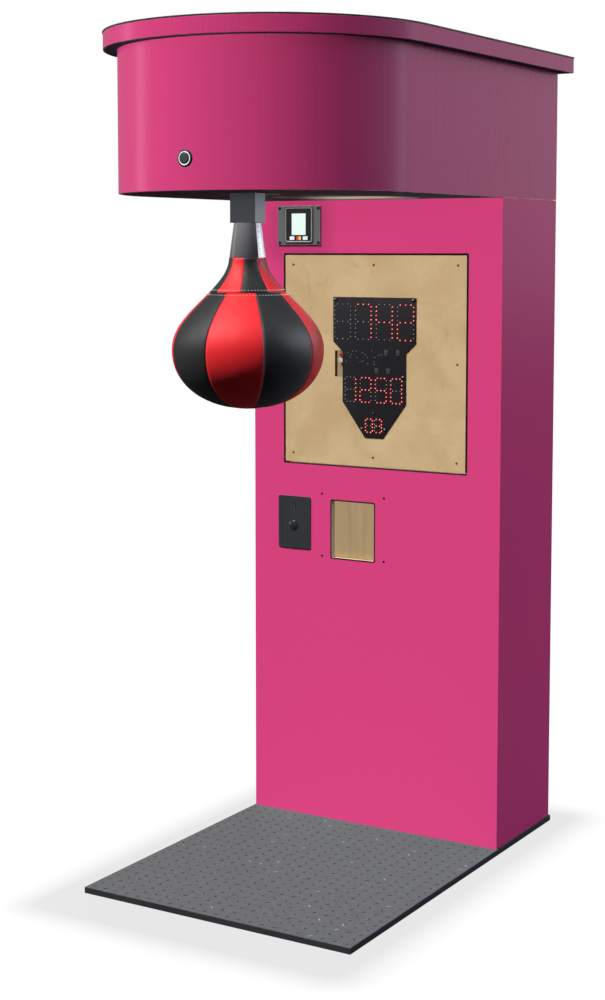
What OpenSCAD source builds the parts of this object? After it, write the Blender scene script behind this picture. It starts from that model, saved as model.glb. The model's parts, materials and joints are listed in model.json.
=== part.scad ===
// Strength tester: a D-shaped canopy on a column, with a punching ball that swings up into the canopy.
// Millimetres, +Z up. The origin is on the floor, under the middle of the lid's outline.

/* [Column] */
// Width of the column, the canopy and the front panel
col_w = 700; // [660:1:760]
// Depth of the column, front to back
col_d = 316; // [300:1:380]
// Height of the column, from the platform up to the canopy
col_h = 1588; // [1570:1:1660]
// Thickness of the cabinet boards
board_t = 18; // [16:1:22]
// Side of the square battens glued into the corners
batten = 30; // [22:1:34]

/* [Canopy] */
// Height of the canopy wall
hood_h = 317; // [300:1:380]
// From the column's face to the centre of the canopy's round front
hood_c = 461; // [430:1:500]
// Thickness of the bent canopy wall
skin_t = 6; // [4:0.5:10]
// Shadow gap between the canopy wall and the column
seam = 1; // [0.5:0.5:2]
// Clearance between the swinging ball and the opening's edge
open_gap = 13; // [8:1:20]

/* [Lid] */
// Height of the lid's edge, top sheet included
lid_t = 40; // [34:1:50]
// Overhang of the lid at the sides and the front
lid_over = 33; // [20:1:45]
// Overhang of the lid at the back
lid_over_rear = 28; // [15:1:40]
// Thickness of the band round the lid's edge
rim_t = 3; // [2:0.5:5]
// Thickness of the sheet on top of the lid
sheet_t = 4; // [3:0.5:6]
// How far the top sheet stands out past the band
sheet_lip = 1.5; // [0.5:0.5:3]

/* [Platform] */
// Thickness of the platform's board
base_board_t = 11; // [9:1:18]
// Thickness of the tread plate on it
tread_t = 3; // [2:0.5:5]
// Platform's length ahead of the column's face
base_front = 728; // [650:1:820]
// Platform's length behind the column
base_rear = 6; // [4:1:12]
// How far the platform stands out on each side
base_side = 3; // [2.5:0.5:10]
// Thickness of the edge strip round the platform
trim_t = 2; // [1.5:0.5:2.5]

/* [Display] */
// Width of the display board
disp_w = 513; // [440:1:540]
// Height of the display board
disp_h = 528; // [480:1:570]
// Height of the display board's centre above the platform
disp_z = 1187; // [1180:1:1190]
// Gap round the display board
disp_gap = 3.5; // [1:0.5:4]
// Inset of the screws from the display board's edges
screw_inset = 23.5; // [16:0.5:26]
// Width of the circuit board at its top
pcb_w = 235; // [225:1:260]
// Height of the circuit board's wide top part
pcb_top_h = 112; // [106:1:130]
// Width of the circuit board's middle part
pcb_mid_w = 180; // [172:1:200]
// Height of the circuit board's middle part
pcb_mid_h = 126; // [118:1:140]
// Width of the circuit board's foot
pcb_foot_w = 52; // [44:1:70]
// Height of the slanted shoulders
pcb_shoulder_h = 25; // [18:1:34]
// Height of the slanted foot
pcb_foot_h = 88; // [80:1:100]
// Thickness of the circuit board
pcb_t = 2; // [1.5:0.1:3]
// Diameter of a display lamp
led_d = 4; // [3:0.2:5]
// How far a lamp stands out of the circuit board
led_out = 1.6; // [1:0.2:3]

/* [Card reader] */
// Width of the reader's plate
reader_w = 126; // [118:1:150]
// Height of the reader's plate
reader_h = 99; // [98:1:120]
// Thickness of the reader's plate
reader_t = 3; // [2:0.5:4]
// Sideways place of the reader's centre
reader_x = -215; // [-225:1:-205]
// Height of the reader's centre above the platform
reader_z = 1526; // [1523:1:1530]
// Width of the reader's moulded case
case_w = 85; // [80:1:92]
// Height of the reader's moulded case
case_h = 93; // [90:1:94]
// How far the case stands out of its plate
case_out = 2; // [1:0.5:5]
// How far the case reaches behind the front panel
case_back = 40; // [25:1:60]

/* [Coin entry] */
// Width of the coin plate
coin_w = 95; // [90:1:110]
// Height of the coin plate
coin_h = 135; // [128:1:150]
// Thickness of the coin plate
coin_t = 3; // [2:0.5:4]
// Sideways place of the coin plate's centre
coin_x = -229; // [-235:1:-225]
// Height of the coin plate's centre above the platform
coin_z = 766; // [757:1:775]
// Diameter of the return button
return_d = 25; // [20:0.5:28]
// Travel of the return button
return_travel = 3; // [2:0.5:6]
// Width of the coin slot
slot_w = 3; // [2.4:0.1:3.6]
// Height of the coin slot
slot_h = 30; // [24:1:34]

/* [Bill window] */
// Width of the window for a bill acceptor
bill_w = 123; // [110:1:130]
// Height of the window for a bill acceptor
bill_h = 146; // [135:1:150]
// Sideways place of the window's centre
bill_x = -58; // [-62:1:-50]
// Height of the window's centre above the platform
bill_z = 756; // [750:1:765]
// Sideways distance of the four mounting holes
bill_hole_w = 180; // [172:1:190]
// Upright distance of the four mounting holes
bill_hole_h = 160; // [156:1:170]
// Diameter of the four mounting holes
bill_hole_d = 6; // [5:0.5:8]
// Thickness of the blanking board behind the window
blank_t = 12; // [9:1:18]

/* [Start button] */
// Diameter of the start button's bezel
start_d = 38; // [34:0.5:44]
// Height of the start button above the canopy's lower edge
start_up = 67; // [50:1:100]
// Travel of the start button
start_travel = 3; // [2:0.5:4]
// Length of the button's barrel behind the canopy's face
barrel_len = 42; // [36:1:60]

/* [Swing arm] */
// From the column's face to the hanging ball's axis
ball_reach = 573; // [566:1:590]
// Width of the arm's rectangular tube
arm_w = 66; // [60:1:72]
// Depth of the arm's rectangular tube
arm_d = 41; // [36:1:46]
// Wall of the arm's tube
arm_wall = 4; // [3:0.5:6]
// How far the arm's tube hangs below the canopy
arm_drop = 64; // [50:1:90]
// Length of the cone between the arm and the ball
sleeve_h = 77; // [60:1:95]
// Top diameter of the cone
sleeve_top_d = 63; // [52:1:65]
// Bottom diameter of the cone
sleeve_low_d = 81; // [70:1:82]
// Diameter of the pivot shaft
shaft_d = 25; // [20:1:30]
// Running clearance of the shaft in its bearings, on the radius
shaft_gap = 0.05; // [0.02:0.01:0.1]
// Height of the shaft above the foot of its bearing blocks
block_h = 36.5; // [34:0.5:42]
// Diameter of the rod that carries the ball
rod_d = 16; // [12:1:20]
// Swing back from hanging to the parked position, in degrees
park_angle = 88; // [84:1:89]

/* [Frame] */
// Width of the frame's rectangular tube
rail_w = 40; // [34:1:44]
// Height of the frame's rectangular tube
rail_h = 20; // [16:1:30]
// Wall of the frame's tube
rail_wall = 2.5; // [2:0.5:3]
// Sideways place of the frame's two long tubes
rail_x = 215; // [212:1:225]

/* [Ball] */
// Largest diameter of the ball
ball_d = 336; // [300:1:345]
// From the ball's lowest point up to its widest part
belly_h = 130; // [115:1:150]
// From the ball's widest part up to its neck
neck_h = 203; // [190:1:220]
// Diameter of the ball's neck
neck_d = 82; // [82:1:92]
// Height of the cross seam above the ball's lowest point
seam_z = 258; // [240:1:275]
// Thickness of the leather
leather_t = 3; // [2:0.5:4]
// Number of leather panels round the ball
gores = 8; // [8, 12]

/* [Latch] */
// Distance of the catch pin below the pivot, along the arm
pin_down = 95; // [92:1:100]
// Distance of the catch pin behind the arm's axis
pin_back = 47; // [46:1:52]
// Diameter of the catch pin
pin_d = 10; // [8:0.5:12]
// Turn of the hook between open and closed, in degrees
hook_turn = 35; // [34:1:38]
// Thickness of the hook
hook_t = 12; // [8:1:14]

/* [Rear door] */
// Width of the rear door
door_w = 520; // [460:1:560]
// Height of the rear door
door_h = 1360; // [1200:1:1400]
// Height of the door's lower edge above the platform
door_z = 120; // [110:1:150]
// Gap round the rear door
door_gap = 2; // [1.5:0.5:3]
// Radius of the hinge knuckles
knuckle_r = 5; // [4:0.5:6]
// Length of one hinge
hinge_len = 75; // [60:1:90]
// Diameter of the hinge pin
hinge_pin_d = 5; // [4:0.5:6]

/* [Inside] */
// Height of the shelf's upper face above the platform
shelf_z = 448; // [430:1:470]
// Width of the cash box
cash_w = 170; // [150:1:190]
// Depth of the cash box
cash_d = 210; // [180:1:230]
// Height of the cash box
cash_h = 140; // [120:1:150]
// Sheet thickness of the cash box and the coin chute
tin_t = 1.5; // [1:0.5:2]

/* [Hidden] */

$fn = 48;

// Levels above the floor
col_z = base_board_t + tread_t;
hood_z = col_z + col_h;
deck_top = hood_z + board_t;
lid_z = hood_z + hood_h;
rail_top = deck_top + rail_h;
pivot_z = rail_top + block_h;
arm_low = hood_z - arm_drop;
neck_z = arm_low - sleeve_h;
belly_z = neck_z - neck_h;
ball_z = belly_z - belly_h;

// Places along Y: the lid's outline is centred on the origin
front_reach = hood_c + col_w / 2 + lid_over;
rear_reach = col_d + lid_over_rear;
face_y = (front_reach - rear_reach) / 2;
back_y = face_y + col_d;
hood_y = face_y - hood_c;
hood_front_y = hood_y - col_w / 2;
pivot_y = face_y - ball_reach;

// Inside faces of the column
in_x = col_w / 2 - board_t;
in_front = face_y + board_t;
in_back = back_y - board_t;

// Frame
frame_front = pivot_y - 110;
frame_rear = back_y - board_t - 20;
shaft_len = 2 * rail_x + rail_w + 10;

// Arm, catch pin and hook, seen from the side with the pivot at the origin
parked_pin_y = pin_back * cos(park_angle) + pin_down * sin(park_angle);
parked_pin_z = pin_back * sin(park_angle) - pin_down * cos(park_angle);
hook_over = 26;
hook_rise = 48;
hook_y = pivot_y + parked_pin_y + hook_over;
hook_z = pivot_z + parked_pin_z + hook_rise;
hook_pin_d = 8;
tail_r = 5;
tail_up = 28;
plunger_up = 22;
plunger_tip_r = 3;
bracket_t = 6;
solenoid_d = 30;
solenoid_len = 44;
bar_z = hook_z + plunger_up + solenoid_d / 2;
leg_y = pivot_y + 100;
leg_w = 60;

// Stop finger on the hub
hub_r = 24;
hub_len = 140;
finger_x = 60;
finger_w = 16;
finger_t = 20;
finger_up = 60;

// Rear door
door_hinge_x = door_w / 2 + door_gap / 2;
door_hinge_y = back_y + knuckle_r;
lock_in = 26;
lock_x = -door_w / 2 + lock_in;
lock_z = col_z + door_z + door_h / 2;
lock_barrel_r = 9.5;
lock_plug_r = 6.5;

// Encoder
disc_x = 120;
disc_r = 45;
disc_t = 2;
disc_slots = 24;

pink = "#d0407e";
board_tan = "#c8ad84";
dark = "#2e3032";
steel = "#8b8f94";
leather_red = "#e8222b";
leather_black = "#2a2b2b";

// Moves to a point of the column's face, with local X to the right, local Y up and local Z out to the front
module on_face(x, z, out = 0) {
    translate([x, face_y - out, col_z + z]) rotate([90, 0, 0]) children();
}

// A plate with round corners, centred, lying on the local XY plane
module round_plate(w, h, r, t) {
    linear_extrude(t) round_rect(w, h, r);
}

// A rectangle with round corners, centred
module round_rect(w, h, r) {
    square([w - 2 * r, h], center = true);
    square([w, h - 2 * r], center = true);
    for (sx = [-1, 1], sy = [-1, 1]) {
        translate([sx * (w / 2 - r), sy * (h / 2 - r)]) circle(r);
    }
}

// A box given by its low corner and its size along X, Y and Z
module block(x, y, z, w, d, h) {
    translate([x, y, z]) cube([w, d, h]);
}

// Puts a copy at the four corners of a rectangle
module at_corners(w, h) {
    for (sx = [-1, 1], sy = [-1, 1]) {
        translate([sx * w / 2, sy * h / 2, 0]) children();
    }
}

// The canopy's outline from above: straight sides and back, round front
module hood_plan(side = 0, rear = 0) {
    r = col_w / 2 + side;
    translate([0, hood_y]) circle(r, $fn = 144);
    translate([-r, hood_y]) square([2 * r, back_y + rear - hood_y]);
}

// Platform

module base_plan(inset = 0) {
    w = col_w + 2 * base_side - 2 * inset;
    front = face_y - base_front + inset;
    rear = back_y + base_rear - inset;
    translate([-w / 2, front]) square([w, rear - front]);
}

module base_board() {
    color("#6f5b45") linear_extrude(base_board_t) base_plan(trim_t);
}

module tread_plate() {
    color("#6b6e70") translate([0, 0, base_board_t]) linear_extrude(tread_t) base_plan(trim_t);
}

module base_trim() {
    color(dark) linear_extrude(base_board_t + tread_t) difference() {
        base_plan();
        base_plan(trim_t);
    }
}

// Column

// Cut-outs of the front panel, as an outline in the panel's own plane
module panel_cutouts() {
    translate([0, disp_z]) square([disp_w + 2 * disp_gap, disp_h + 2 * disp_gap], center = true);
    translate([reader_x, case_z]) square([case_w + 4, case_h + 2], center = true);
    translate([coin_x, coin_z]) square([coin_w - 20, coin_h - 20], center = true);
    translate([bill_x, bill_z]) round_rect(bill_w, bill_h, 4);
    translate([bill_x, bill_hole_z]) at_corners(bill_hole_w, bill_hole_h) circle(d = bill_hole_d);
}

// The mounting holes' centre lies a little above the window's
bill_hole_z = bill_z + 9;

// Front panel with mitred side edges
module front_panel() {
    outer = col_w / 2;
    color(pink) difference() {
        translate([0, 0, col_z]) linear_extrude(col_h) polygon([
            [-outer, face_y], [outer, face_y], [in_x, in_front], [-in_x, in_front]
        ]);
        on_face(0, 0, 1) translate([0, 0, -board_t - 2]) linear_extrude(board_t + 4) panel_cutouts();
    }
}

// Side panels with mitred front edges
module side_panels() {
    outer = col_w / 2;
    for (side = [-1, 1]) {
        color(pink) translate([0, 0, col_z]) linear_extrude(col_h) polygon([
            [side * outer, face_y], [side * outer, back_y], [side * in_x, back_y], [side * in_x, in_front]
        ]);
    }
}

inlet_x = -180;
inlet_z = 66;
inlet_w = 48;
inlet_h = 30;

module rear_panel() {
    color(pink) difference() {
        block(-in_x, in_back, col_z, 2 * in_x, board_t, col_h);
        block(-door_w / 2 - door_gap, in_back - 1, col_z + door_z - door_gap,
              door_w + 2 * door_gap, board_t + 2, door_h + 2 * door_gap);
        block(inlet_x - inlet_w / 2 + 4, in_back - 1, col_z + inlet_z - inlet_h / 2 + 3,
              inlet_w - 8, board_t + 2, inlet_h - 6);
    }
}

// Strips of wood in the column: corner posts, a frame behind the display and ledges under the shelf.
// Each is a strip of its own, cut a hair short of its neighbours.
strip = 28;
strip_lap = 10;
saw_gap = 0.3;

module battens() {
    frame_w = disp_w + 2 * disp_gap - 2 * strip_lap;
    frame_h = disp_h + 2 * disp_gap - 2 * strip_lap;
    ledge_len = in_back - in_front - 2 * batten - 2 * saw_gap;
    color(board_tan) for (side = [-1, 1]) {
        x = side > 0 ? in_x - batten : -in_x;
        block(x, in_front, col_z, batten, batten, col_h);
        block(x, in_back - batten, col_z, batten, batten, col_h);
        block(x, in_front + batten + saw_gap, col_z + shelf_z - board_t - batten,
              batten, ledge_len, batten);
        translate([side * (frame_w + strip) / 2, in_front + board_t / 2, col_z + disp_z])
            cube([strip, board_t, frame_h - 2 * saw_gap], center = true);
        translate([0, in_front + board_t / 2, col_z + disp_z + side * (frame_h + strip) / 2])
            cube([frame_w + 2 * strip, board_t, strip], center = true);
    }
}

module cash_shelf() {
    set_back = 6;
    color(board_tan) difference() {
        block(-in_x, in_front, col_z + shelf_z - board_t, 2 * in_x, in_back - in_front - set_back, board_t);
        for (side = [-1, 1]) {
            x = side > 0 ? in_x - batten : -in_x - 1;
            block(x, in_front - 1, col_z + shelf_z - board_t - 1, batten + 1, batten + 1, board_t + 2);
            block(x, in_back - batten, col_z + shelf_z - board_t - 1, batten + 1, batten + 1, board_t + 2);
        }
    }
}

// Canopy

module hood_skin() {
    color(pink) difference() {
        translate([0, 0, hood_z + seam]) linear_extrude(hood_h - seam) difference() {
            hood_plan();
            hood_plan(-skin_t, -skin_t);
        }
        translate([0, hood_front_y + skin_t + 5, hood_z + start_up]) rotate([90, 0, 0])
            cylinder(r = barrel_r + 0.5, h = skin_t + 10);
    }
}

// The opening follows the ball as it swings through the deck: a slot for the arm, a throat for the neck
// and a wide end for the belly. Distances behind the pivot are taken in the deck's own plane.
slot_half = arm_w / 2 + open_gap + 2;
slot_front = 50;
deck_drop = pivot_z - hood_z;
neck_at = sqrt(pow(pivot_z - neck_z, 2) - pow(deck_drop, 2));
belly_at = sqrt(pow(pivot_z - belly_z, 2) - pow(deck_drop, 2));
tip_at = sqrt(pow(pivot_z - ball_z, 2) - pow(deck_drop, 2));
open_half = ball_d / 2 + open_gap;
open_corner = 110;
open_rear = tip_at + open_gap * 0.7;

module deck_opening() {
    throat_start = neck_at + 10;
    throat_end = belly_at - 22;
    corner_y = open_rear - open_corner;
    translate([0, pivot_y]) {
        translate([-slot_half, -slot_front]) square([2 * slot_half, slot_front + throat_start + 1]);
        polygon([
            [-slot_half - open_gap, throat_start], [slot_half + open_gap, throat_start],
            [open_half, throat_end], [open_half, corner_y + 1],
            [-open_half, corner_y + 1], [-open_half, throat_end]
        ]);
        for (side = [-1, 1]) {
            translate([side * (open_half - open_corner), corner_y]) circle(open_corner, $fn = 96);
        }
        translate([-(open_half - open_corner), corner_y])
            square([2 * (open_half - open_corner), open_corner]);
    }
}

cable_hole_d = 80;

module hood_deck() {
    color("#4a403c") translate([0, 0, hood_z]) linear_extrude(board_t) difference() {
        hood_plan(-skin_t, -skin_t);
        deck_opening();
        translate([0, face_y + col_d / 2]) circle(d = cable_hole_d);
    }
}

module lid_board() {
    in_side = lid_over - sheet_lip - rim_t;
    in_rear = lid_over_rear - sheet_lip - rim_t;
    color("#3f363f") translate([0, 0, lid_z]) linear_extrude(lid_t - sheet_t) hood_plan(in_side, in_rear);
}

module lid_rim() {
    out_side = lid_over - sheet_lip;
    out_rear = lid_over_rear - sheet_lip;
    color(pink) translate([0, 0, lid_z]) linear_extrude(lid_t - sheet_t) difference() {
        hood_plan(out_side, out_rear);
        hood_plan(out_side - rim_t, out_rear - rim_t);
    }
}

module lid_sheet() {
    color(dark) translate([0, 0, lid_z + lid_t - sheet_t]) linear_extrude(sheet_t)
        hood_plan(lid_over, lid_over_rear);
}

// Display

pcb_x = 3;
pcb_drop = 104;
pcb_top_z = disp_z + disp_h / 2 - pcb_drop;
pocket_w = 24;
pocket_h = 66;
pocket_depth = 12;
pocket_x = pcb_x - pcb_mid_w / 2 - pocket_w / 2 + 1;
pocket_down = 31;
pocket_z = pcb_top_z - pcb_top_h - pcb_shoulder_h - pocket_down;

module display_board() {
    color(board_tan) difference() {
        on_face(0, disp_z, -board_t) linear_extrude(board_t) square([disp_w, disp_h], center = true);
        on_face(pocket_x, pocket_z, -pocket_depth) linear_extrude(pocket_depth + 1)
            square([pocket_w, pocket_h], center = true);
    }
}

screw_r = 4;
screw_head = 1.2;

// A flat round screw head with a cross recess
module screw(r) {
    color("#26282a") difference() {
        cylinder(r = r, h = screw_head);
        for (turn = [0, 90]) {
            rotate([0, 0, turn]) translate([-r * 0.6, -r * 0.12, screw_head * 0.4])
                cube([r * 1.2, r * 0.24, screw_head]);
        }
    }
}

reader_screw_r = 4;
reader_screw_in = 6;

module panel_screws() {
    sx = disp_w / 2 - screw_inset;
    sz = disp_h / 2 - screw_inset;
    for (x = [-sx, 0, sx], z = [-sz, 0, sz]) {
        if (x != 0 || z != 0) {
            on_face(x, disp_z + z) screw(screw_r);
        }
    }
    on_face(reader_x, reader_z, reader_t)
        at_corners(reader_w - 2 * reader_screw_in, reader_h - 2 * reader_screw_in) screw(reader_screw_r);
}

module display_pcb() {
    z1 = -pcb_top_h;
    z2 = z1 - pcb_shoulder_h;
    z3 = z2 - pcb_mid_h;
    z4 = z3 - pcb_foot_h;
    half = [[pcb_w, 0], [pcb_w, z1], [pcb_mid_w, z2], [pcb_mid_w, z3], [pcb_foot_w, z4]];
    right = [for (p = half) [p[0] / 2, p[1]]];
    left = [for (i = [len(half) - 1:-1:0]) [-half[i][0] / 2, half[i][1]]];
    color("#26252b") on_face(pcb_x, pcb_top_z) linear_extrude(pcb_t) polygon(concat(right, left));
}

// Seven-segment digits made of round lamps. The segments run top, upper right, lower right, bottom,
// lower left, upper left, middle, and each number lists which of them are lit.
segments_of = [
    [1, 1, 1, 1, 1, 1, 0], [0, 1, 1, 0, 0, 0, 0], [1, 1, 0, 1, 1, 0, 1], [1, 1, 1, 1, 0, 0, 1],
    [0, 1, 1, 0, 0, 1, 1], [1, 0, 1, 1, 0, 1, 1], [1, 0, 1, 1, 1, 1, 1], [1, 1, 1, 0, 0, 0, 0],
    [1, 1, 1, 1, 1, 1, 1], [1, 1, 1, 1, 0, 1, 1], [0, 0, 0, 0, 0, 0, 0]
];
blank = 10;

// Centres of one segment's lamps in a digit of width w and height h, from its lower left corner
function segment_dots(s, w, h, across, up) =
    s == 0 ? [for (i = [0:across - 1]) [(i + 0.5) * w / across, h]] :
    s == 3 ? [for (i = [0:across - 1]) [(i + 0.5) * w / across, 0]] :
    s == 6 ? [for (i = [0:across - 1]) [(i + 0.5) * w / across, h / 2]] :
    [for (i = [0:up - 1]) [s < 3 ? w : 0, (s == 1 || s == 5 ? h / 2 : 0) + (i + 0.5) * h / 2 / up]];

// The three numbers: the blow's score, the best score and the credits. Each has its digits' width, height
// and pitch, its left edge beside the board's middle and its lower edge below the board's top.
score_w = 45;
score_h = 87;
score_pitch = 59.5;
score_left = 112;
score_down = 105;
best_w = 31;
best_h = 61;
best_pitch = 43.5;
best_left = 82;
best_down = 262;
credit_w = 20;
credit_h = 33;
credit_pitch = 26;
credit_left = 23;
credit_down = 337;

// Each row: left edge, lower edge, digit width, digit height, digit pitch, lamps across, lamps up, digits
rows = [
    [score_left, score_down, score_w, score_h, score_pitch, 3, 4, [blank, 7, 4, 2]],
    [best_left, best_down, best_w, best_h, best_pitch, 3, 3, [1, 2, 5, 0]],
    [credit_left, credit_down, credit_w, credit_h, credit_pitch, 2, 2, [0, 3]]
];

function row_dots(row, lit) = [
    for (d = [0:len(row[7]) - 1], s = [0:6])
        if (segments_of[row[7][d]][s] == lit)
            for (p = segment_dots(s, row[2], row[3], row[5], row[6]))
                [pcb_x - row[0] + d * row[4] + p[0], pcb_top_z - row[1] + p[1]]
];

module lamps(lit) {
    for (row = rows, p = row_dots(row, lit)) {
        on_face(p[0], p[1], pcb_t) cylinder(d = led_d, h = led_out, $fn = 16);
    }
}

module leds_lit() {
    color("#ff3a2a") lamps(1);
}

module leds_dark() {
    color("#8d8f92") lamps(0);
}

chip_t = 1.5;
chip_w = 12;
chip_h = 17;
chip_pitch = 33;
driver_x = 35;
driver_down = 138;
logic_x = 8;
logic_down = 184;
clip_w = 8;
clip_h = 5;
clip_t = 3;
side_clip_down = 195;
foot_clip_x = 32;
foot_clip_down = 328;
mid_clip_down = 289;
plug_w = 14;
plug_h = 7;
wide_plug_h = 11;

// A block on the circuit board, centred beside the board's middle and below its top
module chip(x, down, w, h, t = chip_t) {
    on_face(pcb_x + x, pcb_top_z - down, pcb_t) linear_extrude(t) square([w, h], center = true);
}

// Two pairs of chips between the digit rows, small fixings near the board's edge, and two plugs
// in the pocket
module pcb_parts() {
    color("#5c5e60") {
        for (i = [0, 1]) {
            chip(driver_x + i * chip_pitch, driver_down, chip_w, chip_h);
            chip(logic_x + i * chip_pitch, logic_down, chip_w, chip_h);
        }
    }
    color("#d8d8d6") {
        for (side = [-1, 1]) {
            chip(side * (pcb_w / 2 - clip_w), clip_h, clip_w, clip_h, clip_t);
            chip(side * foot_clip_x, foot_clip_down, clip_h, clip_h, clip_t);
        }
        chip(pcb_mid_w / 2 - clip_w, side_clip_down, clip_w, clip_h, clip_t);
        chip(0, mid_clip_down, clip_h, clip_h, clip_t);
    }
    color("#b3261e") on_face(pocket_x + pocket_w / 6, pocket_z + pocket_h / 3, -pocket_depth)
        linear_extrude(pocket_depth / 2) square([plug_w, plug_h], center = true);
    color("#d6d6cf") on_face(pocket_x + pocket_w / 6, pocket_z + pocket_h / 8, -pocket_depth)
        linear_extrude(pocket_depth * 0.75) square([plug_w, wide_plug_h], center = true);
}

// Card reader

case_z = reader_z + 1.4;
case_r = 7;
glass_margin = 5.5;
glass_r = 4;
glass_t = 2;
glass_in = 1;
screen_t = 0.6;

module reader_plate() {
    color("#636466") on_face(reader_x, reader_z) linear_extrude(reader_t) difference() {
        round_rect(reader_w, reader_h, 2);
        translate([0, case_z - reader_z]) round_rect(case_w, case_h, case_r);
    }
}

// The moulded case reaches through the plate and the panel, and holds the glass in a recess
module reader_body() {
    depth = case_out + reader_t + board_t + case_back;
    recess = glass_in + glass_t + screen_t;
    color("#1f2224") on_face(reader_x, case_z, case_out + reader_t - depth) difference() {
        round_plate(case_w, case_h, case_r, depth);
        translate([0, 0, depth - recess])
            round_plate(case_w - 2 * glass_margin, case_h - 2 * glass_margin, glass_r, recess + 1);
    }
}

module reader_glass() {
    color("#141818") on_face(reader_x, case_z, case_out + reader_t - glass_in - glass_t)
        round_plate(case_w - 2 * glass_margin, case_h - 2 * glass_margin, glass_r, glass_t);
}

screen_w = 41;
screen_h = 54;
tile_w = 16;
tile_h = 9;

module reader_screen() {
    color("#dff3ec") on_face(reader_x, reader_z + 3, case_out + reader_t - glass_in) linear_extrude(0.3)
        square([screen_w, screen_h], center = true);
}

// Three plain tiles in a row under the screen
module reader_tiles() {
    for (i = [-1:1]) {
        color(i == 0 ? "#e0902c" : "#d9d9d4")
            on_face(reader_x + i * 19.5, reader_z - 32, case_out + reader_t - glass_in)
            linear_extrude(0.3) square([tile_w, tile_h], center = true);
    }
}

// Coin entry

return_x = coin_x - 2;
return_z = coin_z - 8;
slot_x = coin_x + 3;
slot_z = coin_z + 31.5;
return_gap = 0.3;
validator_w = 62;
validator_h = 118;
validator_d = 95;
return_well = 24;
coin_run = 60;

// Plate with the coin slot, the button's hole and two shallow grooves
module coin_plate() {
    groove = 1;
    color("#33363a") on_face(coin_x, coin_z) difference() {
        round_plate(coin_w, coin_h, 5, coin_t);
        translate([return_x - coin_x, return_z - coin_z, -1])
            cylinder(d = return_d + 2 * return_gap, h = coin_t + 2);
        translate([slot_x - coin_x - slot_w / 2, slot_z - coin_z - slot_h / 2, -1])
            cube([slot_w, slot_h, coin_t + 2]);
        for (side = [-1, 1]) {
            translate([side * (coin_w / 2 - 12) - groove / 2, -coin_h / 2 + 12, coin_t - 0.6])
                cube([groove, coin_h - 24, 1]);
        }
    }
}

return_proud = 1.5;
return_out = return_proud + return_travel;
return_in = 16;

// Domed button: a plain cylinder with a shallow dome on its front, still proud of the plate when pressed
module return_button() {
    r = return_d / 2;
    dome = 3;
    dome_r = (r * r + dome * dome) / (2 * dome);
    color("#1b1d1f") on_face(return_x, return_z) union() {
        translate([0, 0, coin_t + return_out - dome - return_in]) cylinder(r = r, h = return_in);
        translate([0, 0, coin_t + return_out - dome]) intersection() {
            translate([0, 0, dome - dome_r]) sphere(dome_r, $fn = 64);
            cylinder(r = r, h = dome);
        }
    }
}

// Coin validator behind the panel, with its coin slit, the button's well and the drop at the bottom
module coin_validator() {
    color("#3c4044") on_face(coin_x, coin_z) difference() {
        translate([-validator_w / 2, -validator_h / 2 + 2, -validator_d])
            cube([validator_w, validator_h - 4, validator_d]);
        translate([return_x - coin_x, return_z - coin_z, -return_well])
            cylinder(d = return_d + 2 * return_gap, h = return_well + 1);
        translate([slot_x - coin_x - slot_w / 2, slot_z - coin_z - slot_h / 2, -coin_run])
            cube([slot_w, slot_h, coin_run + 1]);
        translate([-chute_w / 2 + tin_t, -validator_h / 2, -validator_d + 15])
            cube([chute_w - 2 * tin_t, 30, chute_d - 2 * tin_t]);
    }
}

chute_w = 36;
chute_d = 46;
chute_low = shelf_z + cash_h + 12;

// Sheet metal channel from the validator down into the cash box
module coin_chute() {
    top = coin_z - validator_h / 2 + 2;
    y = face_y + validator_d - 15 - chute_d + tin_t;
    color(steel) difference() {
        block(coin_x - chute_w / 2, y, col_z + chute_low, chute_w, chute_d, top - chute_low);
        block(coin_x - chute_w / 2 + tin_t, y + tin_t, col_z + chute_low - 1,
              chute_w - 2 * tin_t, chute_d - 2 * tin_t, top - chute_low + 2);
    }
}

cash_x = -in_x + batten + 4;
cash_y = in_front + 6;

module cash_box() {
    color("#7c8084") difference() {
        block(cash_x, cash_y, col_z + shelf_z, cash_w, cash_d, cash_h);
        block(cash_x + tin_t, cash_y + tin_t, col_z + shelf_z + tin_t,
              cash_w - 2 * tin_t, cash_d - 2 * tin_t, cash_h);
    }
}

blank_step = 5;
blank_gap = 1;

// Board behind the window, rebated so that its middle stands a little way into the cut-out
module bill_blank() {
    color(board_tan) on_face(bill_x, bill_z, -board_t - blank_t) {
        linear_extrude(blank_t) square([bill_w + 33, bill_h + 34], center = true);
        round_plate(bill_w - 2 * blank_gap, bill_h - 2 * blank_gap, 3, blank_t + blank_step);
    }
}

// Start button

barrel_r = start_d / 2 - 4.5;
bezel_out = 4;
cap_r = barrel_r - 4;
cap_gap = 0.3;
cap_in = 8;
ring_r = barrel_r;
ring_w = 2;
ring_in = 3;
nut_t = 8;

// Moves to the canopy's foremost line at the button's height, with local Z out to the front
module on_hood() {
    translate([0, hood_front_y, hood_z + start_up]) rotate([90, 0, 0]) children();
}

// Round bezel and barrel in one, open in front for the lit ring and the cap
module start_housing() {
    color("#17181a") on_hood() difference() {
        union() {
            rotate_extrude() polygon([
                [0, 0], [start_d / 2, 0], [start_d / 2, 1.5], [start_d / 2 - 2, bezel_out], [0, bezel_out]
            ]);
            translate([0, 0, -barrel_len]) cylinder(r = barrel_r, h = barrel_len + 1);
        }
        translate([0, 0, bezel_out - ring_in]) difference() {
            cylinder(r = ring_r, h = ring_in + 1);
            cylinder(r = ring_r - ring_w, h = ring_in + 1);
        }
        translate([0, 0, -cap_in - start_travel - 1]) cylinder(r = cap_r + cap_gap, h = 2 * barrel_len);
    }
}

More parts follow.
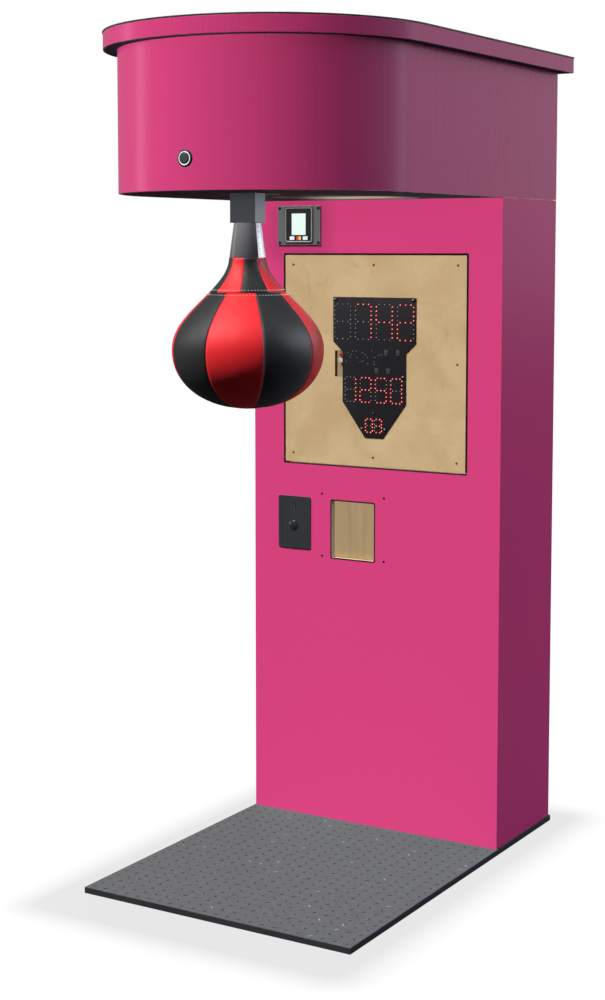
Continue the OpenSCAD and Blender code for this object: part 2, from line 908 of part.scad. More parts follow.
module start_ring() {
    color("#eef2f4") on_hood() translate([0, 0, bezel_out - ring_in]) difference() {
        cylinder(r = ring_r, h = ring_in - 0.4);
        translate([0, 0, -1]) cylinder(r = ring_r - ring_w, h = ring_in + 1);
    }
}

// Cap with a bevelled edge. It stands out of the bezel, and sinks into the well behind it when pressed.
module start_cap() {
    top = bezel_out + 1;
    color("#44484c") on_hood() rotate_extrude() polygon([
        [0, -cap_in], [cap_r, -cap_in], [cap_r, top - 1], [cap_r - 1, top], [0, top]
    ]);
}

// Steel frame and bearings

module tube_along_y(x, y, z, len) {
    difference() {
        block(x - rail_w / 2, y, z, rail_w, len, rail_h);
        block(x - rail_w / 2 + rail_wall, y - 1, z + rail_wall,
              rail_w - 2 * rail_wall, len + 2, rail_h - 2 * rail_wall);
    }
}

foot_len = 140;
foot_t = 15;
foot_bolt = 105;
bolt_d = 10;
bolt_hole_d = 11;

// Two long tubes on the deck and two cross tubes between them, welded. The bearing blocks' bolts
// go through the long tubes' upper wall.
module frame_rails() {
    color("#3a3d40") {
        for (side = [-1, 1]) {
            difference() {
                tube_along_y(side * rail_x, frame_front, deck_top, frame_rear - frame_front);
                for (end = [-1, 1]) {
                    translate([side * rail_x, pivot_y + end * foot_bolt / 2, rail_top - rail_wall - 1])
                        cylinder(d = bolt_hole_d, h = rail_wall + 2);
                }
            }
        }
        for (y = [frame_front, frame_rear - rail_w]) {
            difference() {
                block(-rail_x + rail_w / 2, y, deck_top, 2 * rail_x - rail_w, rail_w, rail_h);
                block(-rail_x + rail_w / 2 - 1, y + rail_wall, deck_top + rail_wall,
                      2 * rail_x - rail_w + 2, rail_w - 2 * rail_wall, rail_h - 2 * rail_wall);
            }
        }
    }
}

// Pillow blocks: a foot with two bolt holes and a round housing with a true bore
module bearing_blocks() {
    ring_r = block_h - 4;
    for (side = [-1, 1]) {
        color("#4a6472") translate([side * rail_x, pivot_y, rail_top]) difference() {
            union() {
                block(-rail_w / 2 + 1, -foot_len / 2, 0, rail_w - 2, foot_len, foot_t);
                block(-rail_w / 2 + 1, -ring_r, 0, rail_w - 2, 2 * ring_r, block_h);
                translate([-rail_w / 2 + 1, 0, block_h]) rotate([0, 90, 0])
                    cylinder(r = ring_r, h = rail_w - 2);
            }
            translate([-rail_w, 0, block_h]) rotate([0, 90, 0])
                cylinder(d = shaft_d + 2 * shaft_gap, h = 2 * rail_w);
            for (end = [-1, 1]) {
                translate([0, end * foot_bolt / 2, -1]) cylinder(d = bolt_hole_d, h = foot_t + 2);
            }
        }
    }
}

// Bolts of the bearing blocks and the start button's ring nut
module fixings() {
    color(steel) {
        for (side = [-1, 1], end = [-1, 1]) {
            translate([side * rail_x, pivot_y + end * foot_bolt / 2, rail_top]) {
                translate([0, 0, -rail_wall - 4]) cylinder(d = bolt_d, h = foot_t + rail_wall + 4);
                translate([0, 0, foot_t]) cylinder(r = bolt_d * 0.98, h = 7, $fn = 6);
            }
        }
        on_hood() translate([0, 0, -skin_t - 0.8 - nut_t]) difference() {
            cylinder(r = barrel_r + 5.5, h = nut_t);
            translate([0, 0, -1]) cylinder(r = barrel_r, h = nut_t + 2);
        }
    }
}

module arm_shaft() {
    color("#b9bec3") translate([-shaft_len / 2, pivot_y, pivot_z]) rotate([0, 90, 0])
        cylinder(d = shaft_d, h = shaft_len);
}

end_plate = 8;

// Hub, rectangular tube, catch pin and stop finger, welded into one arm
module swing_arm() {
    lug_in = hook_t / 2 + 3;
    lug_t = 5;
    lug_r = 0.7 * pin_d;
    color("#434343") translate([0, pivot_y, pivot_z]) difference() {
        union() {
            translate([-hub_len / 2, 0, 0]) rotate([0, 90, 0]) cylinder(r = hub_r, h = hub_len);
            difference() {
                block(-arm_w / 2, -arm_d / 2, arm_low - pivot_z, arm_w, arm_d, pivot_z - arm_low);
                block(-arm_w / 2 + arm_wall, -arm_d / 2 + arm_wall, arm_low - pivot_z + end_plate,
                      arm_w - 2 * arm_wall, arm_d - 2 * arm_wall,
                      pivot_z - arm_low - end_plate - hub_r + 3);
            }
            for (side = [-1, 1]) {
                x = side > 0 ? lug_in : -lug_in - lug_t;
                block(x, arm_d / 2 - 1, -pin_down - lug_r, lug_t, pin_back - arm_d / 2 + 1, 2 * lug_r);
                translate([x, pin_back, -pin_down]) rotate([0, 90, 0]) cylinder(r = lug_r, h = lug_t);
            }
            translate([-lug_in - lug_t, pin_back, -pin_down]) rotate([0, 90, 0])
                cylinder(d = pin_d, h = 2 * (lug_in + lug_t));
            block(finger_x - finger_w / 2, -finger_t / 2, 0, finger_w, finger_t, finger_up);
        }
        translate([-hub_len, 0, 0]) rotate([0, 90, 0]) cylinder(d = shaft_d, h = 2 * hub_len);
        translate([0, 0, arm_low - pivot_z - 1]) cylinder(d = rod_d, h = end_plate + 2);
    }
}

// Threaded rod with its nut inside the tube, down into the ball
module ball_rod() {
    nut_h = 12;
    color(steel) translate([0, pivot_y, belly_z]) {
        cylinder(d = rod_d, h = arm_low + end_plate - belly_z);
        translate([0, 0, arm_low + end_plate - belly_z]) cylinder(d = rod_d, h = nut_h + 6);
        translate([0, 0, arm_low + end_plate - belly_z]) cylinder(r = rod_d * 0.85, h = nut_h, $fn = 6);
    }
}

module arm_sleeve() {
    color("#55585b") translate([0, pivot_y, neck_z]) difference() {
        cylinder(d1 = sleeve_low_d, d2 = sleeve_top_d, h = sleeve_h);
        translate([0, 0, -1]) cylinder(d = rod_d, h = sleeve_h + 2);
    }
}

bumper_w = 24;
bumper_d = 26;

// Rubber block on the deck. Its top lies under the stop finger's lower face when the arm is parked.
module stop_bumper() {
    near = finger_up - 2 - bumper_d;
    slope = cos(park_angle) / sin(park_angle);
    rise = (near - finger_t / 2 * cos(park_angle)) * slope - finger_t / 2 * sin(park_angle);
    top = pivot_z + rise - 0.3;
    color("#1d1d1d") block(finger_x - bumper_w / 2, pivot_y - near - bumper_d, deck_top,
                           bumper_w, bumper_d, top - deck_top);
}

// Latch over the parked arm

cheek_gap = 1;

// Portal over the arm with two cheeks that hold the hook's pin
module latch_bracket() {
    cheek_x = hook_t / 2 + cheek_gap;
    cheek_w = 26;
    color("#5b5f63") {
        for (side = [-1, 1]) {
            block(side > 0 ? rail_x - bracket_t : -rail_x, leg_y, rail_top,
                  bracket_t, leg_w, bar_z - rail_top + 1);
            block(side * rail_x - rail_w / 2, leg_y, rail_top, rail_w, leg_w, bracket_t);
            translate([side > 0 ? cheek_x : -cheek_x - bracket_t, hook_y, hook_z]) rotate([0, 90, 0])
                cylinder(d = cheek_w, h = bracket_t);
            block(side > 0 ? cheek_x : -cheek_x - bracket_t, hook_y - cheek_w / 2, hook_z,
                  bracket_t, cheek_w, bar_z - hook_z + 1);
        }
        block(-rail_x, leg_y - solenoid_len + 6, bar_z, 2 * rail_x, leg_w + solenoid_len - 6, bracket_t);
        translate([-cheek_x - bracket_t - 3, hook_y, hook_z]) rotate([0, 90, 0])
            cylinder(d = hook_pin_d, h = 2 * (cheek_x + bracket_t + 3));
    }
}

// The hook drawn closed, round its own pin, then turned open
module latch_hook() {
    below = hook_rise + pin_d / 2 + 1.5;
    tip = hook_over + pin_d / 2 + 4;
    color("#9a9ea2") translate([0, hook_y, hook_z]) rotate([hook_turn, 0, 0]) difference() {
        translate([-hook_t / 2, 0, 0]) rotate([90, 0, 90]) union() {
            cylinder(d = 20, h = hook_t);
            linear_extrude(hook_t) polygon([
                [-8, 1], [8, 1], [7, -below - 9], [-tip, -below - 4], [-tip - 3, -below], [-12, -below]
            ]);
            translate([-tail_r, 0, 0]) cube([2 * tail_r, tail_up, hook_t]);
        }
        translate([-hook_t, 0, 0]) rotate([0, 90, 0])
            cylinder(d = hook_pin_d + 2 * shaft_gap, h = 2 * hook_t);
    }
}

// Plunger tip, behind the hook's tail when the hook is open
open_tip = (plunger_up + plunger_tip_r) * tan(hook_turn) + tail_r / cos(hook_turn) + 0.4;
closed_tip = tail_r + 0.4;
plunger_travel = open_tip - closed_tip;
tip_len = 8;
body_front = hook_y - open_tip - tip_len;
plunger_r = 6;

module solenoid_body() {
    color("#30343a") difference() {
        block(-solenoid_d / 2, body_front - solenoid_len, bar_z - solenoid_d,
              solenoid_d, solenoid_len, solenoid_d);
        translate([0, body_front + 1, hook_z + plunger_up]) rotate([90, 0, 0])
            cylinder(r = plunger_r + shaft_gap, h = solenoid_len + 2);
    }
}

module solenoid_plunger() {
    color("#b9bec3") translate([0, body_front, hook_z + plunger_up]) rotate([90, 0, 0]) {
        translate([0, 0, 1]) cylinder(r = plunger_r, h = solenoid_len - 6);
        translate([0, 0, -tip_len]) cylinder(r = plunger_tip_r, h = tip_len + 2);
    }
}

// Slotted disc on the shaft and the fork that reads it
module encoder_disc() {
    color("#202224") translate([disc_x, pivot_y, pivot_z]) rotate([0, 90, 0]) difference() {
        union() {
            cylinder(r = disc_r, h = disc_t);
            cylinder(r = shaft_d / 2 + 8, h = 12);
        }
        translate([0, 0, -1]) cylinder(d = shaft_d, h = 20);
        for (i = [0:disc_slots - 1]) {
            rotate([0, 0, i * 360 / disc_slots]) translate([disc_r - 9, -1.5, -1]) cube([6, 3, disc_t + 2]);
        }
    }
}

module encoder_sensor() {
    air = 3;
    depth = 12;
    fork_y = pivot_y - disc_r - 8;
    color("#1a1b1d") difference() {
        block(disc_x - air - 6, fork_y, pivot_z - 8, 2 * (air + 6) + disc_t, depth + 8, 16);
        block(disc_x - air, fork_y + 8, pivot_z - 9, 2 * air + disc_t, depth + 1, 18);
    }
    color(steel) {
        block(disc_x - air - 6, fork_y - 2, deck_top, 2 * (air + 6) + disc_t, 2, pivot_z + 8 - deck_top);
        block(disc_x - air - 6, fork_y - 15, deck_top, 2 * (air + 6) + disc_t, 13, 2);
    }
}

// Ball

// Radius and height of the lower half's outline at an angle from the bottom, for a wall of depth w
function low_point(a, w) = [
    (ball_d / 2 - w) * pow(sin(a), 2 / 2.1),
    belly_h - (belly_h - w) * pow(cos(a), 2 / 2.1)
];

// Radius of the upper half's outline at a height above the lowest point
function high_radius(z, w) =
    neck_d / 2 - w + (ball_d - neck_d) / 4 * (1 + cos(180 * pow((z - belly_h) / neck_h, 1.1)));

function low_line(w, first) = [for (i = [0:14]) low_point(first + (90 - first) * i / 14, w)];
function high_line(w, z0, z1, steps) = [
    for (i = [0:steps]) let(z = z0 + (z1 - z0) * i / steps) [high_radius(z, w), z]
];
function reversed(list) = [for (i = [len(list) - 1:-1:0]) list[i]];
function rest_of(list) = [for (i = [1:len(list) - 1]) list[i]];

patch_r = 16;
welt_gap = 3;
first_angle = 6;

// One leather panel of the body or of the collar, between two upright seams
module body_gore() {
    top = seam_z - welt_gap / 2;
    outside = concat(low_line(0, first_angle), rest_of(high_line(0, belly_h, top, 12)));
    inside = concat(low_line(leather_t, first_angle), rest_of(high_line(leather_t, belly_h, top, 12)));
    rotate_extrude(angle = 360 / gores - 0.4, $fn = 64) polygon(concat(outside, reversed(inside)));
}

module collar_gore() {
    low = seam_z + welt_gap / 2;
    top = belly_h + neck_h;
    rotate_extrude(angle = 360 / gores - 0.4, $fn = 64)
        polygon(concat(high_line(0, low, top, 8), reversed(high_line(leather_t, low, top, 8))));
}

// Every second panel of the body and of the collar, starting with panel first
module leather(first) {
    step = 360 / gores;
    translate([0, pivot_y, ball_z]) for (i = [first:2:gores - 1]) {
        rotate([0, 0, i * step - 90]) body_gore();
        rotate([0, 0, (i - 0.5) * step - 90]) collar_gore();
    }
}

module gores_red() {
    color(leather_red) leather(0);
}

module gores_black() {
    color(leather_black) leather(1);
}

// Filled bladder under the leather, with a well for the rod
module ball_core() {
    w = leather_t + 0.4;
    top = belly_h + neck_h;
    color("#3d342c") translate([0, pivot_y, ball_z]) difference() {
        rotate_extrude($fn = 64) polygon(concat(
            [[0, w]], rest_of(low_line(w, 0)), rest_of(high_line(w, belly_h, top, 18)), [[0, top]]
        ));
        translate([0, 0, belly_h]) cylinder(d = rod_d, h = top);
    }
}

// Round welt in the cross seam, and the patch that closes the panels at the bottom
module ball_welt() {
    r = high_radius(seam_z, 0);
    color(leather_black) translate([0, pivot_y, ball_z]) {
        rotate_extrude($fn = 64) translate([r - 1, seam_z]) circle(r = welt_gap / 2 - 0.1, $fn = 16);
        translate([0, 0, 0.6]) cylinder(r = patch_r - 1, h = leather_t - 0.6);
    }
}

// Rear door, hinges and lock

vents = 9;
vent_w = 260;
vent_pitch = 18;

module rear_door() {
    vent_z = col_z + door_z + door_h - 90 - (vents - 1) * vent_pitch;
    color(pink) difference() {
        block(-door_w / 2, in_back, col_z + door_z, door_w, board_t, door_h);
        for (i = [0:vents - 1]) {
            block(-vent_w / 2, in_back - 1, vent_z + i * vent_pitch, vent_w, board_t + 2, 6);
        }
        translate([lock_x, back_y + 1, lock_z]) rotate([90, 0, 0])
            cylinder(r = lock_barrel_r, h = board_t + 2);
    }
}

hinge_count = 3;
leaf_w = 32;
leaf_t = 2;
function hinge_z(i) = col_z + door_z + 110 + i * (door_h - 220) / (hinge_count - 1);

// One hinge has three knuckles: the outer two and the pin stay with the panel
module door_hinges() {
    third = hinge_len / 3;
    color(steel) for (i = [0:hinge_count - 1], end = [-1, 1]) {
        z = hinge_z(i) + (end > 0 ? third / 2 + 0.2 : -hinge_len / 2);
        h = third - 0.2;
        translate([door_hinge_x, door_hinge_y, z]) cylinder(r = knuckle_r, h = h);
        block(door_hinge_x, back_y, z, leaf_w, leaf_t, h);
        if (end > 0) {
            translate([door_hinge_x, door_hinge_y, hinge_z(i) - third / 2 - 1])
                cylinder(d = hinge_pin_d, h = third + 2);
        }
    }
}

module door_leaves() {
    third = hinge_len / 3;
    color(steel) for (i = [0:hinge_count - 1]) {
        difference() {
            union() {
                translate([door_hinge_x, door_hinge_y, hinge_z(i) - third / 2])
                    cylinder(r = knuckle_r, h = third);
                block(door_hinge_x - leaf_w, back_y, hinge_z(i) - third / 2, leaf_w, leaf_t, third);
            }
            translate([door_hinge_x, door_hinge_y, hinge_z(i) - third])
                cylinder(d = hinge_pin_d + 2 * shaft_gap, h = 2 * third);
        }
    }
}

cam_t = 3;
cam_w = 16;
cam_lap = 14;
cam_reach = door_w / 2 + lock_x + door_gap + cam_lap;

// Lock housing with its round collar on the door's face
module door_lock() {
    color("#b9bec3") translate([lock_x, back_y, lock_z]) rotate([90, 0, 0]) difference() {
        union() {
            translate([0, 0, -2]) cylinder(r = lock_barrel_r + 3, h = 2);
            cylinder(r = lock_barrel_r, h = board_t);
        }
        translate([0, 0, -3]) cylinder(r = lock_plug_r + shaft_gap, h = board_t + 6);
    }
}

// Key plug with its keyway, and the cam behind the door, turned clear of the panel
module lock_cam() {
    color("#8f949a") translate([lock_x, back_y, lock_z]) rotate([90, 0, 0]) difference() {
        union() {
            translate([0, 0, -2]) cylinder(r = lock_plug_r, h = board_t + 2 + 0.6 + cam_t);
            translate([-cam_w / 2, -cam_reach, board_t + 0.6]) cube([cam_w, cam_reach + cam_w / 2, cam_t]);
        }
        translate([-0.8, -4, -3]) cube([1.6, 8, 6]);
    }
}

// Electrics

ctrl_h = 210;
ctrl_d = 150;
ctrl_z = 930;

// Control board on four posts on the right side panel
module control_board() {
    post = 10;
    y = face_y + col_d / 2 - ctrl_d / 2;
    z = col_z + ctrl_z;
    color("#2f6b3c") block(in_x - post - pcb_t, y, z, pcb_t, ctrl_d, ctrl_h);
    color("#d8d8d6") for (py = [8, ctrl_d - 8], pz = [8, ctrl_h - 8]) {
        translate([in_x - post, y + py, z + pz]) rotate([0, 90, 0]) cylinder(d = 6, h = post);
    }
    color("#26282a") {
        block(in_x - post - pcb_t - 4, y + 55, z + 90, 4, 40, 40);
        for (i = [0:3]) {
            block(in_x - post - pcb_t - 12, y + 16 + i * 32, z + 12, 12, 22, 12);
        }
    }
}

psu_w = 110;
psu_d = 200;
psu_h = 50;

module power_supply() {
    x = in_x - batten - psu_w - 20;
    y = face_y + col_d / 2 - psu_d / 2;
    z = col_z + shelf_z;
    color("#9aa0a5") difference() {
        block(x, y, z, psu_w, psu_d, psu_h);
        block(x + 8, y - 1, z + 12, psu_w - 16, 23, psu_h);
        for (i = [0:11]) {
            block(x + 15, y + 45 + i * 12, z + psu_h - 1, psu_w - 30, 5, 2);
        }
    }
}

socket_depth = 14;

// Mains inlet in the rear panel: a socket with three contact blades
module power_inlet() {
    translate([inlet_x, back_y, col_z + inlet_z]) rotate([90, 0, 180]) {
        color("#17181a") difference() {
            union() {
                round_plate(inlet_w, inlet_h, 3, 3);
                translate([0, 0, -board_t]) round_plate(inlet_w - 8, inlet_h - 6, 2, board_t + 1);
            }
            translate([0, 0, -socket_depth]) round_plate(28, 20, 3, socket_depth + 8);
        }
        color(steel) for (x = [-7, 0, 7]) {
            translate([x - 1, x == 0 ? -1 : -5, -socket_depth]) cube([2, 4, socket_depth - 5]);
        }
    }
}

base_board();
tread_plate();
base_trim();
front_panel();
side_panels();
rear_panel();
battens();
cash_shelf();
hood_skin();
hood_deck();
lid_board();
lid_rim();
lid_sheet();
display_board();
panel_screws();
display_pcb();
leds_lit();
leds_dark();
pcb_parts();
reader_plate();
reader_body();
reader_glass();
reader_screen();
reader_tiles();
coin_plate();
return_button();
coin_validator();
coin_chute();
cash_box();
bill_blank();
start_housing();
start_ring();
start_cap();
frame_rails();
bearing_blocks();
fixings();
arm_shaft();
swing_arm();
ball_rod();
arm_sleeve();
stop_bumper();
latch_bracket();
latch_hook();
solenoid_body();
solenoid_plunger();
encoder_disc();
encoder_sensor();
ball_core();
gores_red();
gores_black();
ball_welt();
rear_door();
door_hinges();
door_leaves();
door_lock();
lock_cam();
control_board();
power_supply();
power_inlet();
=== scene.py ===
# Looks of a strength tester: a punching ball on a swing arm under a round-fronted canopy.
# Metres, +Z up, the player stands on the -Y side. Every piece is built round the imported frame.

import json
import math
import random

import bmesh
import bpy
from mathutils import Euler, Matrix, Vector

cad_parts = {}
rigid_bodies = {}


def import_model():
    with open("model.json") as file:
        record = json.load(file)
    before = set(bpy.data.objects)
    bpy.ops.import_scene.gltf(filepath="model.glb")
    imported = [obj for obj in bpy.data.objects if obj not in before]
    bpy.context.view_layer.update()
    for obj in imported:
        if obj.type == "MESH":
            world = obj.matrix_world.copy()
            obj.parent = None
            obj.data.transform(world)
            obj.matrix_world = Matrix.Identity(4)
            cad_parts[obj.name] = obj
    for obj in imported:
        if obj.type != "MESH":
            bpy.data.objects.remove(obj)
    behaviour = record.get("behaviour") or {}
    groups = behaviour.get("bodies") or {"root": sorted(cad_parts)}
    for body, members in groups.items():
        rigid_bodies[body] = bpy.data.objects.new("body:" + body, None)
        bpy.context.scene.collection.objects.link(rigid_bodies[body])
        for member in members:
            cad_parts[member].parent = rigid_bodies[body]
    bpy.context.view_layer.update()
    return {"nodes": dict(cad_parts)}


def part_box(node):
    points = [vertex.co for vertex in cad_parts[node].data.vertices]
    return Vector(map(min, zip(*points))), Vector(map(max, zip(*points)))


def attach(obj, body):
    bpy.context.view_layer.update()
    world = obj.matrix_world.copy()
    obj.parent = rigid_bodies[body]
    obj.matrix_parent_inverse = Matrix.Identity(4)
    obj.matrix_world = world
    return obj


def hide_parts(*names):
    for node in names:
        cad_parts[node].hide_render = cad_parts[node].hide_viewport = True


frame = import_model()
nodes = frame["nodes"]


# Platform board
# A sheet of plywood that lies on the floor and carries the column. The tread plate hides its
# upper face and the edge strip its sides, so only its underside is open to view.

def put(tree, kind, sockets=None, **settings):
    """Adds a node to a tree, sets its options, and sets or links its sockets."""
    made = tree.nodes.new(kind)
    for name, value in settings.items():
        setattr(made, name, value)
    for name, value in (sockets or {}).items():
        if isinstance(value, bpy.types.NodeSocket):
            tree.links.new(value, made.inputs[name])
        else:
            made.inputs[name].default_value = value
    return made


def feed(target, **links):
    """Links values to a node's inputs, named with an underscore for each space."""
    for label, value in links.items():
        target.id_data.links.new(value, target.inputs[label.replace("_", " ")])


def rgb(code, share=1.0):
    """A colour written as six hex digits, in linear light, made darker or lighter by a share."""
    parts = [int(code[i:i + 2], 16) / 255 for i in (0, 2, 4)]
    parts = [c / 12.92 if c <= 0.04045 else ((c + 0.055) / 1.055) ** 2.4 for c in parts]
    return tuple(share * c for c in parts) + (1.0,)


def maths(tree, operation, *values):
    """One step of arithmetic with numbers."""
    return put(tree, "ShaderNodeMath", dict(enumerate(values)), operation=operation).outputs[0]


def blended(tree, share, first, second):
    """A mix of two colours, each a socket, a colour or its hex digits."""
    first, second = (rgb(color) if isinstance(color, str) else color for color in (first, second))
    return put(tree, "ShaderNodeMix", {"Factor": share, 6: first, 7: second}, data_type="RGBA").outputs[2]


def ramp(tree, value, from_min=0.0, from_max=1.0, to_min=0.0, to_max=1.0, **settings):
    """A value carried from one range to another and held at its ends."""
    sockets = {"Value": value, "From Min": from_min, "From Max": from_max, "To Min": to_min, "To Max": to_max}
    return put(tree, "ShaderNodeMapRange", sockets, **settings).outputs[0]


def noise(tree, vector, scale, detail=2.0, roughness=0.5, distortion=0.0):
    """Cloudy noise from 0 to 1."""
    return put(tree, "ShaderNodeTexNoise", {
        "Vector": vector, "Scale": scale, "Detail": detail, "Roughness": roughness,
        "Distortion": distortion}).outputs["Fac"]


def place_in(tree):
    """Where a point lies in its object."""
    return put(tree, "ShaderNodeTexCoord").outputs["Object"]


def object_place(tree, scale=(1, 1, 1), turn=(0, 0, 0)):
    """The same place stretched and turned."""
    sockets = {"Vector": place_in(tree), "Scale": scale, "Rotation": turn}
    return put(tree, "ShaderNodeMapping", sockets).outputs[0]


def new_group(name, inputs, outputs):
    """A shader node group. An input without a value is a vector, and one with four numbers a colour."""
    tree = bpy.data.node_groups.new(name, "ShaderNodeTree")
    for label, value in inputs.items():
        kind = "Vector" if value is None else "Float" if isinstance(value, float) else "Color"
        socket = tree.interface.new_socket(label, in_out="INPUT", socket_type="NodeSocket" + kind)
        if value is not None:
            socket.default_value = value
    for label in outputs:
        kind = "Color" if label == "Color" else "Float"
        tree.interface.new_socket(label, in_out="OUTPUT", socket_type="NodeSocket" + kind)
    return tree, tree.nodes.new("NodeGroupInput").outputs, tree.nodes.new("NodeGroupOutput")


def group_node(tree, group, **sockets):
    """A group set to work in a tree, and what it gives."""
    return put(tree, "ShaderNodeGroup", sockets, node_tree=group).outputs


def new_material(name, **shader_values):
    """A material with one Principled BSDF, whose plain values are set on its own sockets."""
    material = bpy.data.materials.new(name)
    material.use_nodes = True
    shader = material.node_tree.nodes["Principled BSDF"]
    for label, value in shader_values.items():
        shader.inputs[label.replace("_", " ")].default_value = value
    return material, material.node_tree, shader


def bump(shader, height, distance, strength=1.0):
    """Gives a shader the relief of a height."""
    sockets = {"Height": height, "Distance": distance, "Strength": strength}
    feed(shader, Normal=put(shader.id_data, "ShaderNodeBump", sockets).outputs[0])


# Grain of sawn wood: long fibres along the local X axis, with slow light and dark bands
grain_group, pin, pout = new_group(
    "wood_grain", {"Vector": None, "Light": rgb("d9bf95"), "Dark": rgb("a98455"), "Fineness": 90.0},
    ("Color", "Height"))
stretched = put(grain_group, "ShaderNodeMapping", {"Vector": pin["Vector"], "Scale": (0.06, 1, 1)}).outputs[0]
fibre = noise(grain_group, stretched, pin["Fineness"], 6.0, 0.6)
band = noise(grain_group, stretched, 11.0, distortion=0.6)
spread = ramp(grain_group, maths(grain_group, "ADD", fibre, band), 0.75, 1.25)
feed(pout, Color=blended(grain_group, spread, pin["Dark"], pin["Light"]), Height=fibre)


def wood(name, light, dark, turn=(0, 0, 0), fineness=90.0, roughness=0.72, sheen=0.3, depth=0.0003,
         strength=0.6):
    """Sawn wood or board, with its fibres along X after the turn."""
    material, tree, shader = new_material(name, Roughness=roughness, Specular_IOR_Level=sheen)
    where = object_place(tree, turn=turn)
    grain = group_node(tree, grain_group, Vector=where, Light=rgb(light), Dark=rgb(dark), Fineness=fineness)
    feed(shader, Base_Color=grain["Color"])
    bump(shader, grain["Height"], depth, strength)
    return material


SHARP = math.radians(30)
SAME_FACE = math.radians(0.4)


def eased(node, width, segments=2, first=None):
    """A copy of a CAD node with its triangles joined and its sharp edges rounded over.
    The rounded faces get 1 in the attribute worn, which the finishes read."""
    shape = bmesh.new()
    shape.from_mesh(nodes[node].data)
    bmesh.ops.remove_doubles(shape, verts=shape.verts, dist=1e-6)
    bmesh.ops.dissolve_limit(shape, angle_limit=SAME_FACE, verts=shape.verts, edges=shape.edges)
    if first:
        first(shape)
    worn = shape.loops.layers.float.new("worn")
    if width > 0:
        edges = [e for e in shape.edges if len(e.link_faces) == 2 and e.calc_face_angle(0) > SHARP]
        made = bmesh.ops.bevel(shape, geom=edges, offset=width, segments=segments, profile=0.6,
                               affect="EDGES", clamp_overlap=True)
        for face in made["faces"]:
            for corner in face.loops:
                corner[worn] = 1.0
    return piece_from(shape, node + "_eased")


def placed(name, data):
    """A new object in the scene."""
    made = bpy.data.objects.new(name, data)
    bpy.context.scene.collection.objects.link(made)
    return made


def piece_from(shape, name, smooth=40):
    """Turns a bmesh into an object, smooth except at its sharp edges."""
    mesh = bpy.data.meshes.new(name)
    shape.to_mesh(mesh)
    shape.free()
    mesh.polygons.foreach_set("use_smooth", [True] * len(mesh.polygons))
    mesh.set_sharp_from_angle(angle=math.radians(smooth))
    return placed(name, mesh)


def finish_piece(piece, body, slot, materials, *replaced):
    """Gives a piece its materials, sets it on its body and hides the CAD nodes that it stands for."""
    for material in materials:
        piece.data.materials.append(material)
    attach(piece, body)
    if replaced:
        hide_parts(*replaced)
    return piece


plywood = wood("plywood", "b59a72", "8d7350", turn=(0, 0, math.pi / 2))
finish_piece(eased("base_board", 0.0005), "cabinet", "base_wood", [plywood], "base_board")


# Tread plate
# A grey painted steel sheet on the platform, rolled with short raised bars that cross each other
# in turn. The bars are painted dark as the shade of their sides, and a few are painted light as glints.

TREAD_PITCH = 0.0292
TREAD_BAR = 0.0135
TREAD_RISE = 0.0007
TREAD_GLINTING = 0.04

# Fine texture of paint and moulded plastic: an even pebble in the height, and slow patches
skin_group, pin, pout = new_group(
    "fine_skin", {"Vector": None, "Fineness": 900.0, "Patches": 9.0}, ("Height", "Patch"))
feed(pout, Height=noise(skin_group, pin["Vector"], pin["Fineness"], 3.0),
     Patch=noise(skin_group, pin["Vector"], pin["Patches"], 5.0, 0.62))


def attribute(tree, name):
    """A number that the mesh carries."""
    return put(tree, "ShaderNodeAttribute", attribute_name=name).outputs["Fac"]


# Wear along edges: reads the attribute worn and breaks it up with a rough noise
wear_group, pin, pout = new_group("edge_wear", {"Vector": None, "Amount": 0.5, "Grain": 160.0}, ("Mask",))
ragged = noise(wear_group, pin["Vector"], pin["Grain"], 4.0, 0.7)
chipped = maths(wear_group, "GREATER_THAN", ragged, maths(wear_group, "SUBTRACT", 1.0, pin["Amount"]))
feed(pout, Mask=maths(wear_group, "MULTIPLY", attribute(wear_group, "worn"), chipped))


def coated(name, color, worn_color, roughness=0.4, fineness=900.0, depth=0.00004, wear=0.45,
           variation=0.12, metallic=0.0, sheen=0.35, patches=9.0, uneven=0.14):
    """Paint, laminate or moulded plastic: a coloured skin with slow patches, fine texture and worn edges."""
    material, tree, shader = new_material(name, Metallic=metallic, Specular_IOR_Level=sheen)
    where = object_place(tree)
    skin = group_node(tree, skin_group, Vector=where, Fineness=fineness, Patches=patches)
    mask = group_node(tree, wear_group, Vector=where, Amount=wear)["Mask"]
    tones = blended(tree, skin["Patch"], rgb(color, 1 - variation), rgb(color, 1 + variation))
    gloss = ramp(tree, skin["Patch"], 0.3, 0.7, roughness * (1 - uneven), roughness * (1 + uneven))
    feed(shader, Base_Color=blended(tree, mask, tones, worn_color), Roughness=gloss)
    bump(shader, skin["Height"], depth)
    return material


def tread_paint():
    """Grey paint, with painted shade dark on the bars and painted glints light on a few of them."""
    material, tree, shader = new_material("tread_paint", Roughness=0.62, Specular_IOR_Level=0.15)
    skin = group_node(tree, skin_group, Vector=object_place(tree), Fineness=500.0, Patches=85.0)
    tones = blended(tree, skin["Patch"], "444647", "68696b")
    # The attribute pressed carries painted shade: the bars are dark as if their sides were shaded.
    pressed = blended(tree, attribute(tree, "pressed"), tones, "1c1d1e")
    # Marked bars get a pale grey as a painted glint.
    feed(shader, Base_Color=blended(tree, attribute(tree, "scuffed"), pressed, "989a9c"))
    bump(shader, skin["Height"], 0.0001)
    return material


def geometry_tree(name, **inputs):
    """A Geometry Nodes tree with a geometry in and out, and named inputs of the kinds given."""
    tree = bpy.data.node_groups.new(name, "GeometryNodeTree")
    for label, kind in {"Geometry": "Geometry", **inputs}.items():
        tree.interface.new_socket(label, in_out="INPUT", socket_type="NodeSocket" + kind)
    tree.interface.new_socket("Geometry", in_out="OUTPUT", socket_type="NodeSocketGeometry")
    return tree, tree.nodes.new("NodeGroupInput").outputs, tree.nodes.new("NodeGroupOutput")


